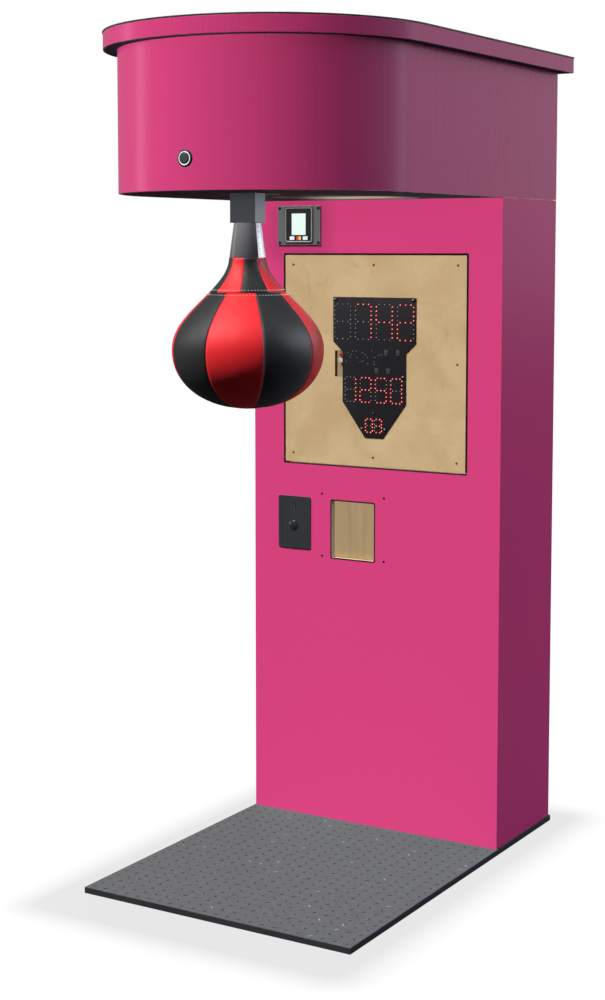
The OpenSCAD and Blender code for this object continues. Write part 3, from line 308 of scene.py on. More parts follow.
def vector_of(tree, **parts):
    """A vector from its parts."""
    return put(tree, "ShaderNodeCombineXYZ", parts).outputs[0]


def planted(tree, points, thing, turn, **more):
    """Instances of an object on points, each with its turn."""
    shape = put(tree, "GeometryNodeObjectInfo", {"Object": thing}).outputs["Geometry"]
    return put(tree, "GeometryNodeInstanceOnPoints", {
        "Points": points, "Instance": shape, "Rotation": turn, **more}).outputs[0]


def hand_out(tree, instances, material, ending):
    """Makes instances real, gives them their material and ends the tree with them."""
    real = put(tree, "GeometryNodeRealizeInstances", {"Geometry": instances}).outputs[0]
    painted = put(tree, "GeometryNodeSetMaterial", {"Geometry": real, "Material": material}).outputs[0]
    feed(ending, Geometry=painted)


def grow(tree, name, seed_mesh, **values):
    """Runs a tree on a mesh with the given values and returns the result as a plain object."""
    carrier = placed(name + "_seed", seed_mesh)
    modifier = carrier.modifiers.new(name, "NODES")
    modifier.node_group = tree
    for item in tree.interface.items_tree:
        if item.item_type == "SOCKET" and item.in_out == "INPUT" and item.name in values:
            modifier[item.identifier] = values[item.name]
    bpy.context.view_layer.update()
    mesh = bpy.data.meshes.new_from_object(carrier.evaluated_get(bpy.context.evaluated_depsgraph_get()))
    mesh.name = name
    bpy.data.objects.remove(carrier)
    return placed(name, mesh)


tread_tree, tin, tout = geometry_tree(
    "tread_rolling", Width="Float", Length="Float", Pitch="Float", Scuffed="Float", Bar="Object",
    Paint="Material")
columns, rows = (put(tread_tree, "FunctionNodeFloatToInt", {
    0: maths(tread_tree, "DIVIDE", tin[side], tin["Pitch"])}, rounding_mode="ROUND").outputs[0]
    for side in ("Width", "Length"))
lattice = put(tread_tree, "GeometryNodeMeshGrid", {
    "Size X": tin["Width"], "Size Y": tin["Length"], "Vertices X": columns,
    "Vertices Y": rows}).outputs["Mesh"]
index = put(tread_tree, "GeometryNodeInputIndex").outputs[0]
column_of = maths(tread_tree, "FLOOR", maths(tread_tree, "DIVIDE", index, rows))
crossing = maths(tread_tree, "MODULO", maths(tread_tree, "ADD", index, column_of), 2.0)
bar_turn = ramp(tread_tree, crossing, to_min=math.radians(45), to_max=math.radians(135))
bars = planted(tread_tree, lattice, tin["Bar"], vector_of(tread_tree, Z=bar_turn))
# A few bars, picked at random, are marked for a painted glint of pale grey.
chance = put(tread_tree, "FunctionNodeRandomValue", {"Seed": 7}, data_type="FLOAT").outputs["Value"]
scuffed = put(tread_tree, "FunctionNodeCompare", {0: chance, 1: tin["Scuffed"]},
              operation="LESS_THAN").outputs[0]
marked = put(tread_tree, "GeometryNodeStoreNamedAttribute", {
    "Geometry": bars, "Name": "scuffed", "Value": scuffed}, data_type="FLOAT", domain="INSTANCE").outputs[0]
hand_out(tread_tree, marked, tin["Paint"], tout)


def raised_bar():
    """One raised bar: a long pyramid with a round back; its attribute pressed paints it dark as shade."""
    shape = bmesh.new()
    dark = shape.verts.layers.float.new("pressed")
    half, wide = TREAD_BAR / 2, TREAD_BAR * 0.18
    mid = half / 2
    foot = [shape.verts.new((x, y, -0.0004)) for x, y in
            ((-half, 0), (-mid, -wide), (mid, -wide), (half, 0), (mid, wide), (-mid, wide))]
    ridge = [shape.verts.new((x, 0, TREAD_RISE)) for x in (-mid, mid)]
    for vert in foot:
        vert[dark] = 1.0
    for vert in ridge:
        vert[dark] = 0.9
    near, far = ridge
    for corners in ((foot[0], foot[1], near), (foot[1], foot[2], far, near), (foot[2], foot[3], far),
                    (foot[3], foot[4], far), (foot[4], foot[5], near, far), (foot[5], foot[0], near),
                    foot[::-1]):
        shape.faces.new(corners)
    bmesh.ops.recalc_face_normals(shape, faces=shape.faces)
    return piece_from(shape, "raised_bar", smooth=30)


tread_grey = tread_paint()
low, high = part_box("tread_plate")
bar_template = raised_bar()
tread_bars = grow(
    tread_tree, "tread_bars", bpy.data.meshes.new("tread_seed"), Width=high.x - low.x - TREAD_PITCH,
    Length=high.y - low.y - TREAD_PITCH, Pitch=TREAD_PITCH, Scuffed=TREAD_GLINTING, Bar=bar_template,
    Paint=tread_grey)
bpy.data.objects.remove(bar_template)
tread_bars.data.transform(Matrix.Translation(((low.x + high.x) / 2, (low.y + high.y) / 2, high.z)))
column_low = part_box("front_panel")[0]
standing = bmesh.new()
standing.from_mesh(tread_bars.data)
under = [v for v in standing.verts if v.co.y > column_low.y - TREAD_BAR]
hidden = set()
for vert in under:
    for face in vert.link_faces:
        hidden.update(face.verts)
bmesh.ops.delete(standing, geom=list(hidden | set(under)), context="VERTS")
standing.to_mesh(tread_bars.data)
standing.free()
finish_piece(tread_bars, "cabinet", "tread", [])
finish_piece(eased("tread_plate", 0.0004), "cabinet", "tread", [tread_grey], "tread_plate")


# Platform edge strip
# A black plastic strip glued round the board and the tread plate, mitred at the corners. Shoes
# scuff it grey along its upper edge.

def even_normals(piece):
    """Keeps the flats flat beside their rounded edges."""
    made = piece.modifiers.new("even_normals", "WEIGHTED_NORMAL")
    made.keep_sharp = True
    made.weight = 60


def dressed(node, width, body, slot, *materials, segments=2):
    """A node's rounded copy in its finish, which takes the node's place."""
    piece = eased(node, width, segments)
    even_normals(piece)
    return finish_piece(piece, body, slot, materials, node)


edge_black = coated("edge_black", "2a2c2e", "5c5e60", roughness=0.5, wear=0.42)
dressed("base_trim", 0.0006, "cabinet", "edge_strip", edge_black)


# Posts, ledges and strips
# Sawn softwood glued into the column's corners and behind the display. They hold the panels
# together and give the screws something to bite.

softwood = wood("softwood", "dcc49a", "b8935f", turn=(0, math.pi / 2, 0), fineness=140.0)
dressed("battens", 0.0008, "cabinet", "raw_board", softwood)


# Column panels
# Boards of pressed wood with a pink laminate on the outside: a front, two sides whose front edges
# are mitred to it, and a rear one. The cut-outs show the laminate's dark core and painted shade.

PINK = "d8447f"
DARK_CORE_AND_SHADE = "2c2028"
LAMINATE = 0.0014
DISPLAY_GAP = 0.006
NARROW_WALL = 0.0001


def opened(material):
    """A material's tree and shader, and what colours it so far."""
    shader = material.node_tree.nodes["Principled BSDF"]
    return material.node_tree, shader, shader.inputs["Base Color"].links[0].from_socket


def plain_to_neighbours(material):
    """Turns a colour grey for the light that bounces off it and white for the gloss of other pieces,
    so that the wide pink panels don't tint what stands near them."""
    tree, shader, color = opened(material)
    path = put(tree, "ShaderNodeLightPath").outputs
    bounced = blended(tree, path["Is Diffuse Ray"], color, "7d7a80")
    feed(shader, Base_Color=blended(tree, path["Is Glossy Ray"], bounced, "e4e8f2"))
    return material


def laminate(name, sheen=0.12):
    """Pressed laminate: one pink sheet, nearly even, with a faint skin and a soft gloss."""
    return plain_to_neighbours(coated(
        name, PINK, "b03a6c", roughness=0.26, fineness=420.0, depth=0.000002, wear=0.05,
        variation=0.012, patches=2.0, sheen=sheen, uneven=0.02))


def part_of(tree, vector, axis):
    """The part of a vector along X, Y or Z."""
    return put(tree, "ShaderNodeSeparateXYZ", {"Vector": vector}).outputs[axis]


def pressed_board():
    """Sawn edge of pressed wood, with the dark line of the laminate's core next to the front face."""
    material, tree, shader = new_material("pressed_board", Roughness=0.8, Specular_IOR_Level=0.2)
    where = object_place(tree)
    chips_of = put(tree, "ShaderNodeTexVoronoi", {"Vector": where, "Scale": 420.0}).outputs["Color"]
    crumbs = put(tree, "ShaderNodeRGBToBW", {"Color": chips_of}).outputs[0]
    mixed = maths(tree, "MULTIPLY", crumbs, noise(tree, where, 60.0, 5.0))
    core = maths(tree, "LESS_THAN", part_of(tree, where, "Y"), column_low.y + LAMINATE)
    feed(shader, Base_Color=blended(tree, core, blended(tree, mixed, "e6cfa2", "a88a5c"), DARK_CORE_AND_SHADE))
    bump(shader, mixed, 0.0003, 0.7)
    return material


def vector_maths(tree, operation, *values):
    """One step of arithmetic with vectors, of which two kinds give a number."""
    made = put(tree, "ShaderNodeVectorMath", dict(enumerate(values)), operation=operation)
    return made.outputs["Value" if operation in ("LENGTH", "DOT_PRODUCT") else 0]


# Distance of a place from a box with rounded edges: zero on its skin and inside it
box_group, pin, pout = new_group(
    "box_distance", {"Vector": None, "Centre": None, "Half": None, "Radius": 0.0}, ("Distance",))
off_centre = vector_maths(box_group, "SUBTRACT", pin["Vector"], pin["Centre"])
past_half = vector_maths(
    box_group, "SUBTRACT", vector_maths(box_group, "ABSOLUTE", off_centre), pin["Half"])
rounding = vector_of(box_group, X=pin["Radius"], Y=pin["Radius"], Z=pin["Radius"])
past_core = vector_maths(box_group, "ADD", past_half, rounding)
reach_out = vector_maths(box_group, "LENGTH", vector_maths(box_group, "MAXIMUM", past_core, (0, 0, 0)))
from_skin = maths(box_group, "SUBTRACT", reach_out, pin["Radius"])
feed(pout, Distance=maths(box_group, "MAXIMUM", from_skin, 0.0))


def distance_in_front(tree, low, high, radius, drop=0.0):
    """How far a place lies outside a rounded frame that is seen from the front."""
    half = Vector(((high.x - low.x) / 2, 1.0, (high.z - low.z) / 2))
    centre = (low + high) / 2 - Vector((0, 0, drop))
    place = place_in(tree)
    return group_node(tree, box_group, Vector=place, Centre=centre, Half=half, Radius=radius)["Distance"]


def corners_of(spots):
    """Low and high corner of the box round some places."""
    return tuple(Vector([pick(spot[k] for spot in spots) for k in range(3)]) for pick in (min, max))


def within(place, node, spare=0.0):
    """Whether a place lies in front of a node, or as near to its outline as the spare width."""
    low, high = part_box(node)
    return (low.x - spare < place.x < high.x + spare) and (low.z - spare < place.z < high.z + spare)


def dark_rims_and_shade(material, *openings):
    """Darkens a laminate along the edges of its openings: partly bared core, partly painted shade of the
    gaps.
    """
    tree, shader, color = opened(material)
    for node, spare, wide in openings:
        rim = [v.co for v in nodes["front_panel"].data.vertices
               if abs(v.co.y - column_low.y) < 1e-5 and within(v.co, node, spare)]
        near = ramp(tree, distance_in_front(tree, *corners_of(rim), 0.002), wide * 0.8, wide * 1.2, 1.0, 0.0)
        color = blended(tree, near, color, DARK_CORE_AND_SHADE)
    feed(shader, Base_Color=color)
    return material


def shade_under(material, node, reach, amount):
    """Paints a soft shade on a laminate round a plate that stands off it, a little more below the plate."""
    tree, shader, color = opened(material)
    away = distance_in_front(tree, *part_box(node), 0.01, drop=reach / 4)
    near = ramp(tree, away, 0.0, reach, amount, 0.0, interpolation_type="SMOOTHSTEP")
    feed(shader, Base_Color=blended(tree, near, color, "8c2c54"))
    return material


pink = laminate("pink_laminate")
# Dark bands round the window and the display opening: laminate core in part, painted shade in part.
front_pink = dark_rims_and_shade(
    laminate("front_laminate"), ("bill_blank", 0.0, 0.0036), ("display_board", DISPLAY_GAP, 0.0018))
# Painted shade round the reader plate on the front laminate.
shade_under(front_pink, "reader_plate", 0.055, 0.34)
side_pink = laminate("side_laminate", sheen=0.11)
sawn_edge = pressed_board()
# The dark core colour also paints shade on the walls of the openings.
core_and_shade_dark, _, _ = new_material("laminate_core", Base_Color=rgb(DARK_CORE_AND_SHADE), Roughness=0.7, Specular_IOR_Level=0.2)
# A grey copy of the board edge for the window's upright jambs: painted shade, where the sill stays cream.
jamb_grey = wood("jamb_grey", "b2b5a6", "9a9c8e", fineness=140.0)


def panel(node, axis, *materials, body="cabinet", slot="pink_panel", first=None):
    """A laminated board: faces that look along the axis are laminate, the rest sawn edge."""
    piece = eased(node, 0.0006, first=first)
    even_normals(piece)
    for face in piece.data.polygons:
        if face.material_index < 2:
            face.material_index = 0 if abs(face.normal[axis]) > 0.3 else 1
    return finish_piece(piece, body, slot, materials, node)


def dark_openings(shape):
    """Paints the walls of the narrow openings and of the display's gap dark as shade, and the window's
    upright walls grey as shade.
    """
    for face in shape.faces:
        spot = face.calc_center_median()
        narrow = face.calc_area() < NARROW_WALL and not within(spot, "bill_blank")
        if abs(face.normal.y) < 0.3 and (narrow or within(spot, "display_board", DISPLAY_GAP)):
            face.material_index = 2
        elif abs(face.normal.x) > 0.5 and within(spot, "bill_blank"):
            face.material_index = 3


front_panel = panel("front_panel", 1, front_pink, sawn_edge, core_and_shade_dark, jamb_grey, first=dark_openings)
side_panels = panel("side_panels", 0, side_pink, sawn_edge)
panel("rear_panel", 1, pink, sawn_edge)


# Shelf
# A raw board across the column on two ledges. It carries the cash box and the power supply.

dressed("cash_shelf", 0.0008, "cabinet", "raw_board", wood("shelf_wood", "cfb488", "a5875a"))


# Canopy deck
# The canopy's floor, a board stained dark below. Its pear-shaped opening lets the ball swing up
# into the canopy. The sawn edge of that opening is light in a low band, with painted shade above it.

RAW_BAND_UP = 0.0050
DECK_RIM = 0.008


def opening_edge():
    """Sawn edge of the opening: light in a band near its lower lip, with painted shade above it and at its +X
    end.
    """
    material = wood("opening_edge", "c9b79c", "a8977d")
    tree, shader, color = opened(material)
    where = object_place(tree)
    # Away from the low band and towards +X the edge is painted dark as shade.
    shaded_off_band = maths(tree, "SUBTRACT", part_of(tree, where, "Z"), deck_low.z + RAW_BAND_UP)
    shaded_off_band = ramp(tree, maths(tree, "ABSOLUTE", shaded_off_band), 0.0022, 0.0032)
    shaded_beyond = ramp(tree, part_of(tree, where, "X"), 0.045, 0.10)
    feed(shader, Base_Color=blended(tree, maths(tree, "MAXIMUM", shaded_off_band, shaded_beyond), color, "6a6069"))
    return material


deck_low, deck_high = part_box("hood_deck")
nose_y = deck_low.y + (deck_high.x - deck_low.x) / 2
dark_stain = wood("stained_board", "524654", "41374a", turn=(0, 0, math.pi / 2), fineness=60.0,
                  roughness=0.75, sheen=0.03, depth=0.0002, strength=0.5)
deck = panel("hood_deck", 2, dark_stain, opening_edge(), slot="dark_board")
for face in deck.data.polygons:
    x, y, _ = face.center
    inner = deck_high.x - (math.hypot(x, y - nose_y) if y < nose_y else abs(x)) > DECK_RIM
    if face.material_index == 1 and not (inner and y < deck_high.y - DECK_RIM):
        face.material_index = 0
deck.visible_glossy = False


# Steel frame and bearings
# Square steel tube, welded, painted dark and bolted to the deck, with a cast bearing block on
# each side for the shaft. The bolts and the ring nut are zinc plated.

def metal(name, color, roughness, streak=(1, 1, 1), dullest=0.8, brightest=1.12):
    """Bare or plated metal with fine drawing or turning marks, stretched along one axis."""
    material, tree, shader = new_material(name, Metallic=1.0)
    marks = noise(tree, object_place(tree, scale=streak), 700.0, 4.0)
    cloud = noise(tree, object_place(tree), 14.0, 4.0)
    gloss = ramp(tree, maths(tree, "ADD", marks, cloud), 0.7, 1.3, roughness * 0.75, roughness * 1.3)
    feed(shader, Base_Color=blended(tree, cloud, rgb(color, dullest), rgb(color, brightest)), Roughness=gloss)
    bump(shader, marks, 0.00003, 0.5)
    return material


frame_paint = coated("frame_paint", "3b3e41", "8a8c8e", roughness=0.42, wear=0.5)
cast_blue = coated("cast_blue", "4a6472", "8f9698", roughness=0.5, fineness=260.0, depth=0.00025, wear=0.5)
zinc = metal("zinc", "c3c6c4", 0.34)
ground_steel = metal("ground_steel", "c9ccce", 0.24, streak=(20, 1, 1))
dressed("frame_rails", 0.0012, "cabinet", "frame_paint", frame_paint)
dressed("bearing_blocks", 0.0015, "cabinet", "bearing_paint", cast_blue)
dressed("fixings", 0.0005, "cabinet", "sheet_steel", zinc)
dressed("latch_bracket", 0.0008, "cabinet", "frame_paint", frame_paint)


# Shaft and swing arm
# A ground steel shaft carries a welded arm of rectangular tube, painted dark grey, with the catch
# pin and the stop finger on its back. A threaded rod and nut inside the tube hold the ball.

def finish_node(node, material):
    """Gives a carried-over CAD node its finish."""
    mesh = nodes[node].data
    mesh.materials.clear()
    mesh.materials.append(material)


arm_grey = coated("arm_grey", "1f2021", "8b8e93", roughness=0.24, wear=0.4, variation=0.05, sheen=0.5,
                  depth=0.00001)
arm_gloss = opened(arm_grey)[1].inputs
arm_gloss["IOR"].default_value = 2.85
# The bluish specular tint paints a cool cast into the arm's reflections.
arm_gloss["Specular Tint"].default_value = (0.86, 0.93, 1.0, 1.0)
dressed("arm_shaft", 0.0012, "swing", "bright_steel", ground_steel)
dressed("swing_arm", 0.0014, "swing", "arm_paint", arm_grey, segments=3)
finish_node("ball_rod", zinc)


# Cone sleeve
# A cone of sheet metal between the arm and the ball, rolled over at both ends and lacquered dark
# grey. A strip of bright steel, held by six small rivets, closes it along one side.

SLEEVE_WALL = 0.002
RIVETS = 6
RIVET_SIDE = math.radians(-11)
SEAM_SIDE = math.radians(-3)
SEAM_WIDE = math.radians(37)
SEAM_THICK = 0.0006
ROLLED_IN = 0.0012


def skinned(shape, rings, closed=False):
    """Faces between each ring of vertices and the next, where a ring may be a single vertex."""
    steps = max(len(ring) for ring in rings)
    for lower, upper in zip(rings, rings[1:] + (rings[:1] if closed else [])):
        for i in range(steps):
            corners = [side[k % steps % len(side)]
                       for side, k in ((lower, i), (lower, i + 1), (upper, i + 1), (upper, i))]
            shape.faces.new(list(dict.fromkeys(corners)))


def turned(shape, outline, steps, centre=(0, 0, 0), closed=False):
    """Turns an outline of radius and height points round a vertical axis, and returns its rings."""
    rings = [[shape.verts.new((
        centre[0] + radius * math.cos(2 * math.pi * i / steps),
        centre[1] + radius * math.sin(2 * math.pi * i / steps),
        centre[2] + height)) for i in range(steps if radius else 1)] for radius, height in outline]
    skinned(shape, rings, closed)
    return rings


def lathe(name, outline, steps=96, centre=(0, 0, 0), closed=False):
    """A closed skin turned round a vertical axis."""
    shape = bmesh.new()
    turned(shape, outline, steps, centre, closed)
    bmesh.ops.recalc_face_normals(shape, faces=shape.faces)
    return piece_from(shape, name)


def top_radius(node):
    """Radius of a node's upper end about the ball's axis."""
    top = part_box(node)[1].z
    spots = [v.co for v in nodes[node].data.vertices if v.co.z > top - 0.001]
    return max(math.hypot(spot.x, spot.y - pivot_y) for spot in spots)


def on_axis(radius, turn, height):
    """A place at a radius and a turn about the ball's axis."""
    return radius * math.cos(turn), pivot_y + radius * math.sin(turn), height


sleeve_low, sleeve_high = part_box("arm_sleeve")
pivot_y = (sleeve_low.y + sleeve_high.y) / 2
sleeve_r = (sleeve_high.x - sleeve_low.x) / 2
neck_z = sleeve_low.z
sleeve_h = sleeve_high.z - neck_z
top_r = top_radius("arm_sleeve") - ROLLED_IN


def sleeve_radius(share):
    """Radius of the cone at a share of its height."""
    return sleeve_r + (top_r - sleeve_r) * share


sleeve_outline = [
    (sleeve_radius(0) - SLEEVE_WALL, 0.0), (sleeve_radius(0) - 0.0006, 0.0), (sleeve_radius(0.01), 0.0008),
    (sleeve_radius(0.93), sleeve_h * 0.93),
    (top_r, sleeve_h),
    (top_r - SLEEVE_WALL, sleeve_h)]
sleeve = lathe("cone_sleeve", sleeve_outline, steps=128, centre=(0, pivot_y, neck_z), closed=True)
cone_lacquer = coated("cone_lacquer", "808285", "a5a7aa", roughness=0.28, metallic=0.25, wear=0.1,
                      variation=0.03, depth=0.000002)
finish_piece(sleeve, "swing", "cone_metal", [cone_lacquer], "arm_sleeve")


def dome(name, radius, height, steps=12, rings=4, foot=0.0003):
    """A low round head with its rim down at zero."""
    outline = [(0.0, -foot), (radius, -foot)]
    for i in range(rings + 1):
        turn = math.pi / 2 * i / rings
        outline.append((radius * math.cos(turn) if i < rings else 0.0, height * math.sin(turn)))
    return lathe(name, outline, steps=steps)


# Heads on points: a small shape at each point, turned by the point's own attribute
heads_tree, tin, tout = geometry_tree("heads_on_points", Head="Object", Size="Float", Finish="Material")
head_turn = put(heads_tree, "GeometryNodeInputNamedAttribute", {"Name": "turn"},
                data_type="FLOAT_VECTOR").outputs[0]
head_size = vector_of(heads_tree, X=tin["Size"], Y=tin["Size"], Z=tin["Size"])
heads = planted(heads_tree, tin["Geometry"], tin["Head"], head_turn, Scale=head_size)
hand_out(heads_tree, heads, tin["Finish"], tout)


def heads_on(name, head, places, material, body, slot, *replaced, size=1.0):
    """A piece made of a head at each place, a point and the turn that it gets there."""
    seed = bpy.data.meshes.new(name + "_points")
    seed.from_pydata([tuple(point) for point, _ in places], [], [])
    turns = seed.attributes.new("turn", "FLOAT_VECTOR", "POINT")
    turns.data.foreach_set("vector", [c for _, turn in places for c in turn])
    made = grow(heads_tree, name, seed, Head=head, Size=size, Finish=material)
    return finish_piece(made, body, slot, [], *replaced)


def seam_strip():
    """The strip that closes the cone: a curved plate with a bevelled rim, from rim to rim."""
    shape = bmesh.new()
    across, along = 14, 6
    skins = []
    for lift in (-0.0003, SEAM_THICK):
        rows = []
        for r in range(along + 1):
            share = 0.012 + 0.978 * r / along
            turns = [SEAM_SIDE + SEAM_WIDE * (c / across - 0.5) for c in range(across + 1)]
            rows.append([shape.verts.new(on_axis(sleeve_radius(share) + lift, a, neck_z + share * sleeve_h))
                         for a in turns])
        skins.append(rows)
    inner, outer = skins
    for r in range(along):
        for c in range(across):
            shape.faces.new((outer[r][c], outer[r][c + 1], outer[r + 1][c + 1], outer[r + 1][c]))
            shape.faces.new((inner[r][c], inner[r + 1][c], inner[r + 1][c + 1], inner[r][c + 1]))
    rim = [(0, c) for c in range(across)] + [(r, across) for r in range(along)]
    rim += [(along, c) for c in range(across, 0, -1)] + [(r, 0) for r in range(along, 0, -1)]
    for (r, c), (r2, c2) in zip(rim, rim[1:] + rim[:1]):
        shape.faces.new((inner[r][c], inner[r2][c2], outer[r2][c2], outer[r][c]))
    bmesh.ops.recalc_face_normals(shape, faces=shape.faces)
    return piece_from(shape, "cone_strip", smooth=30)


bright_strip = metal("bright_strip", "f6f8ff", 0.34, streak=(1, 1, 0.05), dullest=0.97, brightest=1.0)
finish_piece(seam_strip(), "swing", "cone_metal", [bright_strip])
slope = math.atan2(sleeve_r - top_r, sleeve_h)
rivet_places = []
for i in range(RIVETS):
    share = 0.1 + 0.8 * i / (RIVETS - 1)
    place = on_axis(sleeve_radius(share) + SEAM_THICK, RIVET_SIDE, neck_z + share * sleeve_h)
    rivet_places.append((place, (0, math.pi / 2 - slope, RIVET_SIDE)))
rivet = dome("rivet", 0.0012, 0.0006)
heads_on("sleeve_rivets", rivet, rivet_places, frame_paint, "swing", "cone_metal")
bpy.data.objects.remove(rivet)


# Stop, latch and speed sensor
# Behind the arm a rubber block stops it when it is parked, and a hook worked by a solenoid holds
# it there. A slotted disc on the shaft turns between the legs of a light gate.

rubber = coated("rubber", "202020", "3a3a3a", roughness=0.75, fineness=500.0, depth=0.0001)
black_moulding = coated("black_moulding", "1d1f21", "3c3e40", roughness=0.42, fineness=700.0)
coil_paint = coated("coil_paint", "2d3238", "6c7074", roughness=0.4)
dressed("stop_bumper", 0.002, "cabinet", "rubber_black", rubber)
dressed("latch_hook", 0.0008, "hook", "bright_steel", ground_steel)
dressed("solenoid_body", 0.001, "cabinet", "coil_black", coil_paint)
dressed("solenoid_plunger", 0.0006, "plunger", "bright_steel", ground_steel)
dressed("encoder_disc", 0.0003, "swing", "black_plastic", black_moulding)
dressed("encoder_sensor", 0.0005, "cabinet", "black_plastic", black_moulding)


# Punching ball
# Eight leather panels, red and black in turn, sewn round a packed bladder, with a collar of eight
# more set half a panel round. The filling pushes each panel out between its seams.

GORES = 8
LEATHER = 0.003
SEAM_SINK = 0.0010
SEAM_REACH = 0.0022
SEAM_HALF = 0.0004
WELT_SUNK = 0.982
PUFF = 0.0005
ACROSS = 16
BELLY_UP = 0.130
WELT_RIM_LOW, WELT_RIM_HIGH = 0.0006, 0.0014

welt_low, welt_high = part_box("ball_welt")
gore_boxes = [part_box(node) for node in ("gores_red", "gores_black")]
ball_z = welt_low.z - WELT_RIM_LOW
belly_r = max((high.x - low.x) / 2 for low, high in gore_boxes)
neck_r = top_radius("gores_red")
COLLAR_UP = gore_boxes[0][1].z - ball_z
SEAM_UP = welt_high.z - ball_z - WELT_RIM_HIGH
NECK_UP = COLLAR_UP - BELLY_UP


def ball_outline(up):
    """Radius of the ball at a height above its lowest point."""
    if up >= BELLY_UP:
        turn = math.pi * ((up - BELLY_UP) / NECK_UP) ** 1.1
        return neck_r + (belly_r - neck_r) / 2 * (1 + math.cos(turn))
    depth = min(1.0, (BELLY_UP - up) / BELLY_UP)
    turn = math.acos(depth ** 1.05)
    return belly_r * math.sin(turn) ** (2 / 2.1)


def puckers(across, up, phase):
    """Small gathers that the stitches pull into the leather beside a seam."""
    near = max(0.0, 1 - (1 - abs(across)) / 0.28)
    return 0.00035 * near * math.sin(up * 520 + phase) * (1 if across > 0 else -1)


def leather_panel(shape, start, low_up, high_up, rows, phase, uv):
    """One panel: a sheet that swells between its seams and turns inwards at its edges."""
    step = 2 * math.pi / GORES
    grid = []
    for r in range(rows + 1):
        share = r / rows
        up = low_up + (high_up - low_up) * share
        rim = min(share, 1 - share) * (high_up - low_up)
        line = []
        for c in range(ACROSS + 1):
            across = -1 + 2 * c / ACROSS
            across = math.copysign(1 - (1 - abs(across)) ** 1.35, across)
            sink = SEAM_SINK * math.exp(-(1 - abs(across)) * ball_outline(up) * step / 2 / SEAM_REACH)
            sink_end = SEAM_SINK * 0.4 * math.exp(-rim / 0.003)
            swell = PUFF * (1 - across ** 4) - sink - sink_end + puckers(across, up, phase)
            turn = start + step * (0.5 + across * 0.4985)
            line.append(shape.verts.new(on_axis(ball_outline(up) + swell, turn, ball_z + up)))
        grid.append(line)
    middle_r = ball_outline((low_up + high_up) / 2)
    for r in range(rows):
        for c in range(ACROSS):
            face = shape.faces.new((grid[r][c], grid[r][c + 1], grid[r + 1][c + 1], grid[r + 1][c]))
            for loop, (i, j) in zip(face.loops, ((c, r), (c + 1, r), (c + 1, r + 1), (c, r + 1))):
                loop[uv].uv = (phase + step * i / ACROSS * middle_r, low_up + (high_up - low_up) * j / rows)


def leather_bag(name, first):
    """Every second panel of the body and of the collar, with a wall of leather."""
    shape = bmesh.new()
    uv = shape.loops.layers.uv.new("hide")
    step = 2 * math.pi / GORES
    for i in range(first, GORES, 2):
        leather_panel(shape, i * step - math.pi / 2, 0.0009, SEAM_UP - SEAM_HALF, 56, 0.7 * i, uv)
        leather_panel(shape, (i - 0.5) * step - math.pi / 2, SEAM_UP + SEAM_HALF, COLLAR_UP, 20, 0.4 * i, uv)
    bmesh.ops.recalc_face_normals(shape, faces=shape.faces)
    piece = piece_from(shape, name, smooth=60)
    wall = piece.modifiers.new("wall", "SOLIDIFY")
    wall.thickness = LEATHER * 0.7
    wall.offset = -1.0
    return piece


def leather(name, color, bright, dusty):
    """Oiled leather: a pebbled grain of small cells with fine creases, and a soft uneven gloss."""
    material, tree, shader = new_material(name, Specular_IOR_Level=0.18)
    dull = ramp(tree, part_of(tree, place_in(tree), "Z"), ball_z + 0.03, ball_z + 0.13, 0.4, 0.0)
    hide = group_node(tree, hide_group, Vector=object_place(tree), Cells=620.0)
    tones = blended(tree, hide["Shade"], color, bright)
    gloss = maths(tree, "ADD", ramp(tree, hide["Shade"], 0.2, 0.8, 0.47, 0.41), dull)
    feed(shader, Base_Color=blended(tree, hide["Rub"], tones, dusty), Roughness=gloss)
    bump(shader, hide["Height"], 0.00025, 0.55)
    return material


# Leather grain: pebbles from cells, creases from a stretched noise, and rubbed places
hide_group, pin, pout = new_group("hide_grain", {"Vector": None, "Cells": 620.0}, ("Height", "Shade", "Rub"))
bent = put(hide_group, "ShaderNodeTexNoise", {"Vector": pin["Vector"], "Scale": 60.0}).outputs["Color"]
nudge = put(hide_group, "ShaderNodeVectorMath", {0: bent, "Scale": 0.006}, operation="SCALE").outputs[0]
bent_place = vector_maths(hide_group, "ADD", pin["Vector"], nudge)
cells = put(hide_group, "ShaderNodeTexVoronoi",
            {"Vector": bent_place, "Scale": pin["Cells"]}, feature="DISTANCE_TO_EDGE").outputs["Distance"]
crease = noise(hide_group, bent_place, 34.0, 7.0, 0.66)
rub_noise = noise(hide_group, pin["Vector"], 75.0, 6.0, 0.75)
feed(pout, Height=maths(hide_group, "ADD", ramp(hide_group, cells, from_max=0.28), crease),
     Shade=noise(hide_group, pin["Vector"], 13.0, 5.0, 0.6),
     Rub=ramp(hide_group, rub_noise, 0.66, 0.82, to_max=0.5))

red_hide = leather("red_hide", "e01f27", "ea2a30", "f0555a")
black_hide = leather("black_hide", "1c1d1e", "262728", "3a3c3e")
for bag_name, first, slot_name, hide, node_name in (
        ("ball_red_leather", 0, "red_leather", red_hide, "gores_red"),
        ("ball_black_leather", 1, "black_leather", black_hide, "gores_black")):
    bag = finish_piece(leather_bag(bag_name, first), "swing", slot_name, [hide], node_name)
finish_node("ball_core", coated("lining", "2a2320", "2a2320", roughness=0.9, wear=0.0))
welt = eased("ball_welt", 0.0)
sunk = Matrix.Diagonal((WELT_SUNK, WELT_SUNK, 1, 1))
welt.data.transform(Matrix.Translation((0, pivot_y, 0)) @ sunk @ Matrix.Translation((0, -pivot_y, 0)))
finish_piece(welt, "swing", "black_leather", [black_hide], "ball_welt")


# Ball stitching
# Two rows of waxed white thread, one above and one below the cross seam, in stitches of even
# length that follow the leather round.

STITCH_PITCH = 0.0071
STITCH_LONG = 0.0030
STITCH_THICK = 0.00105
STITCH_OFF_SEAM = 0.0052

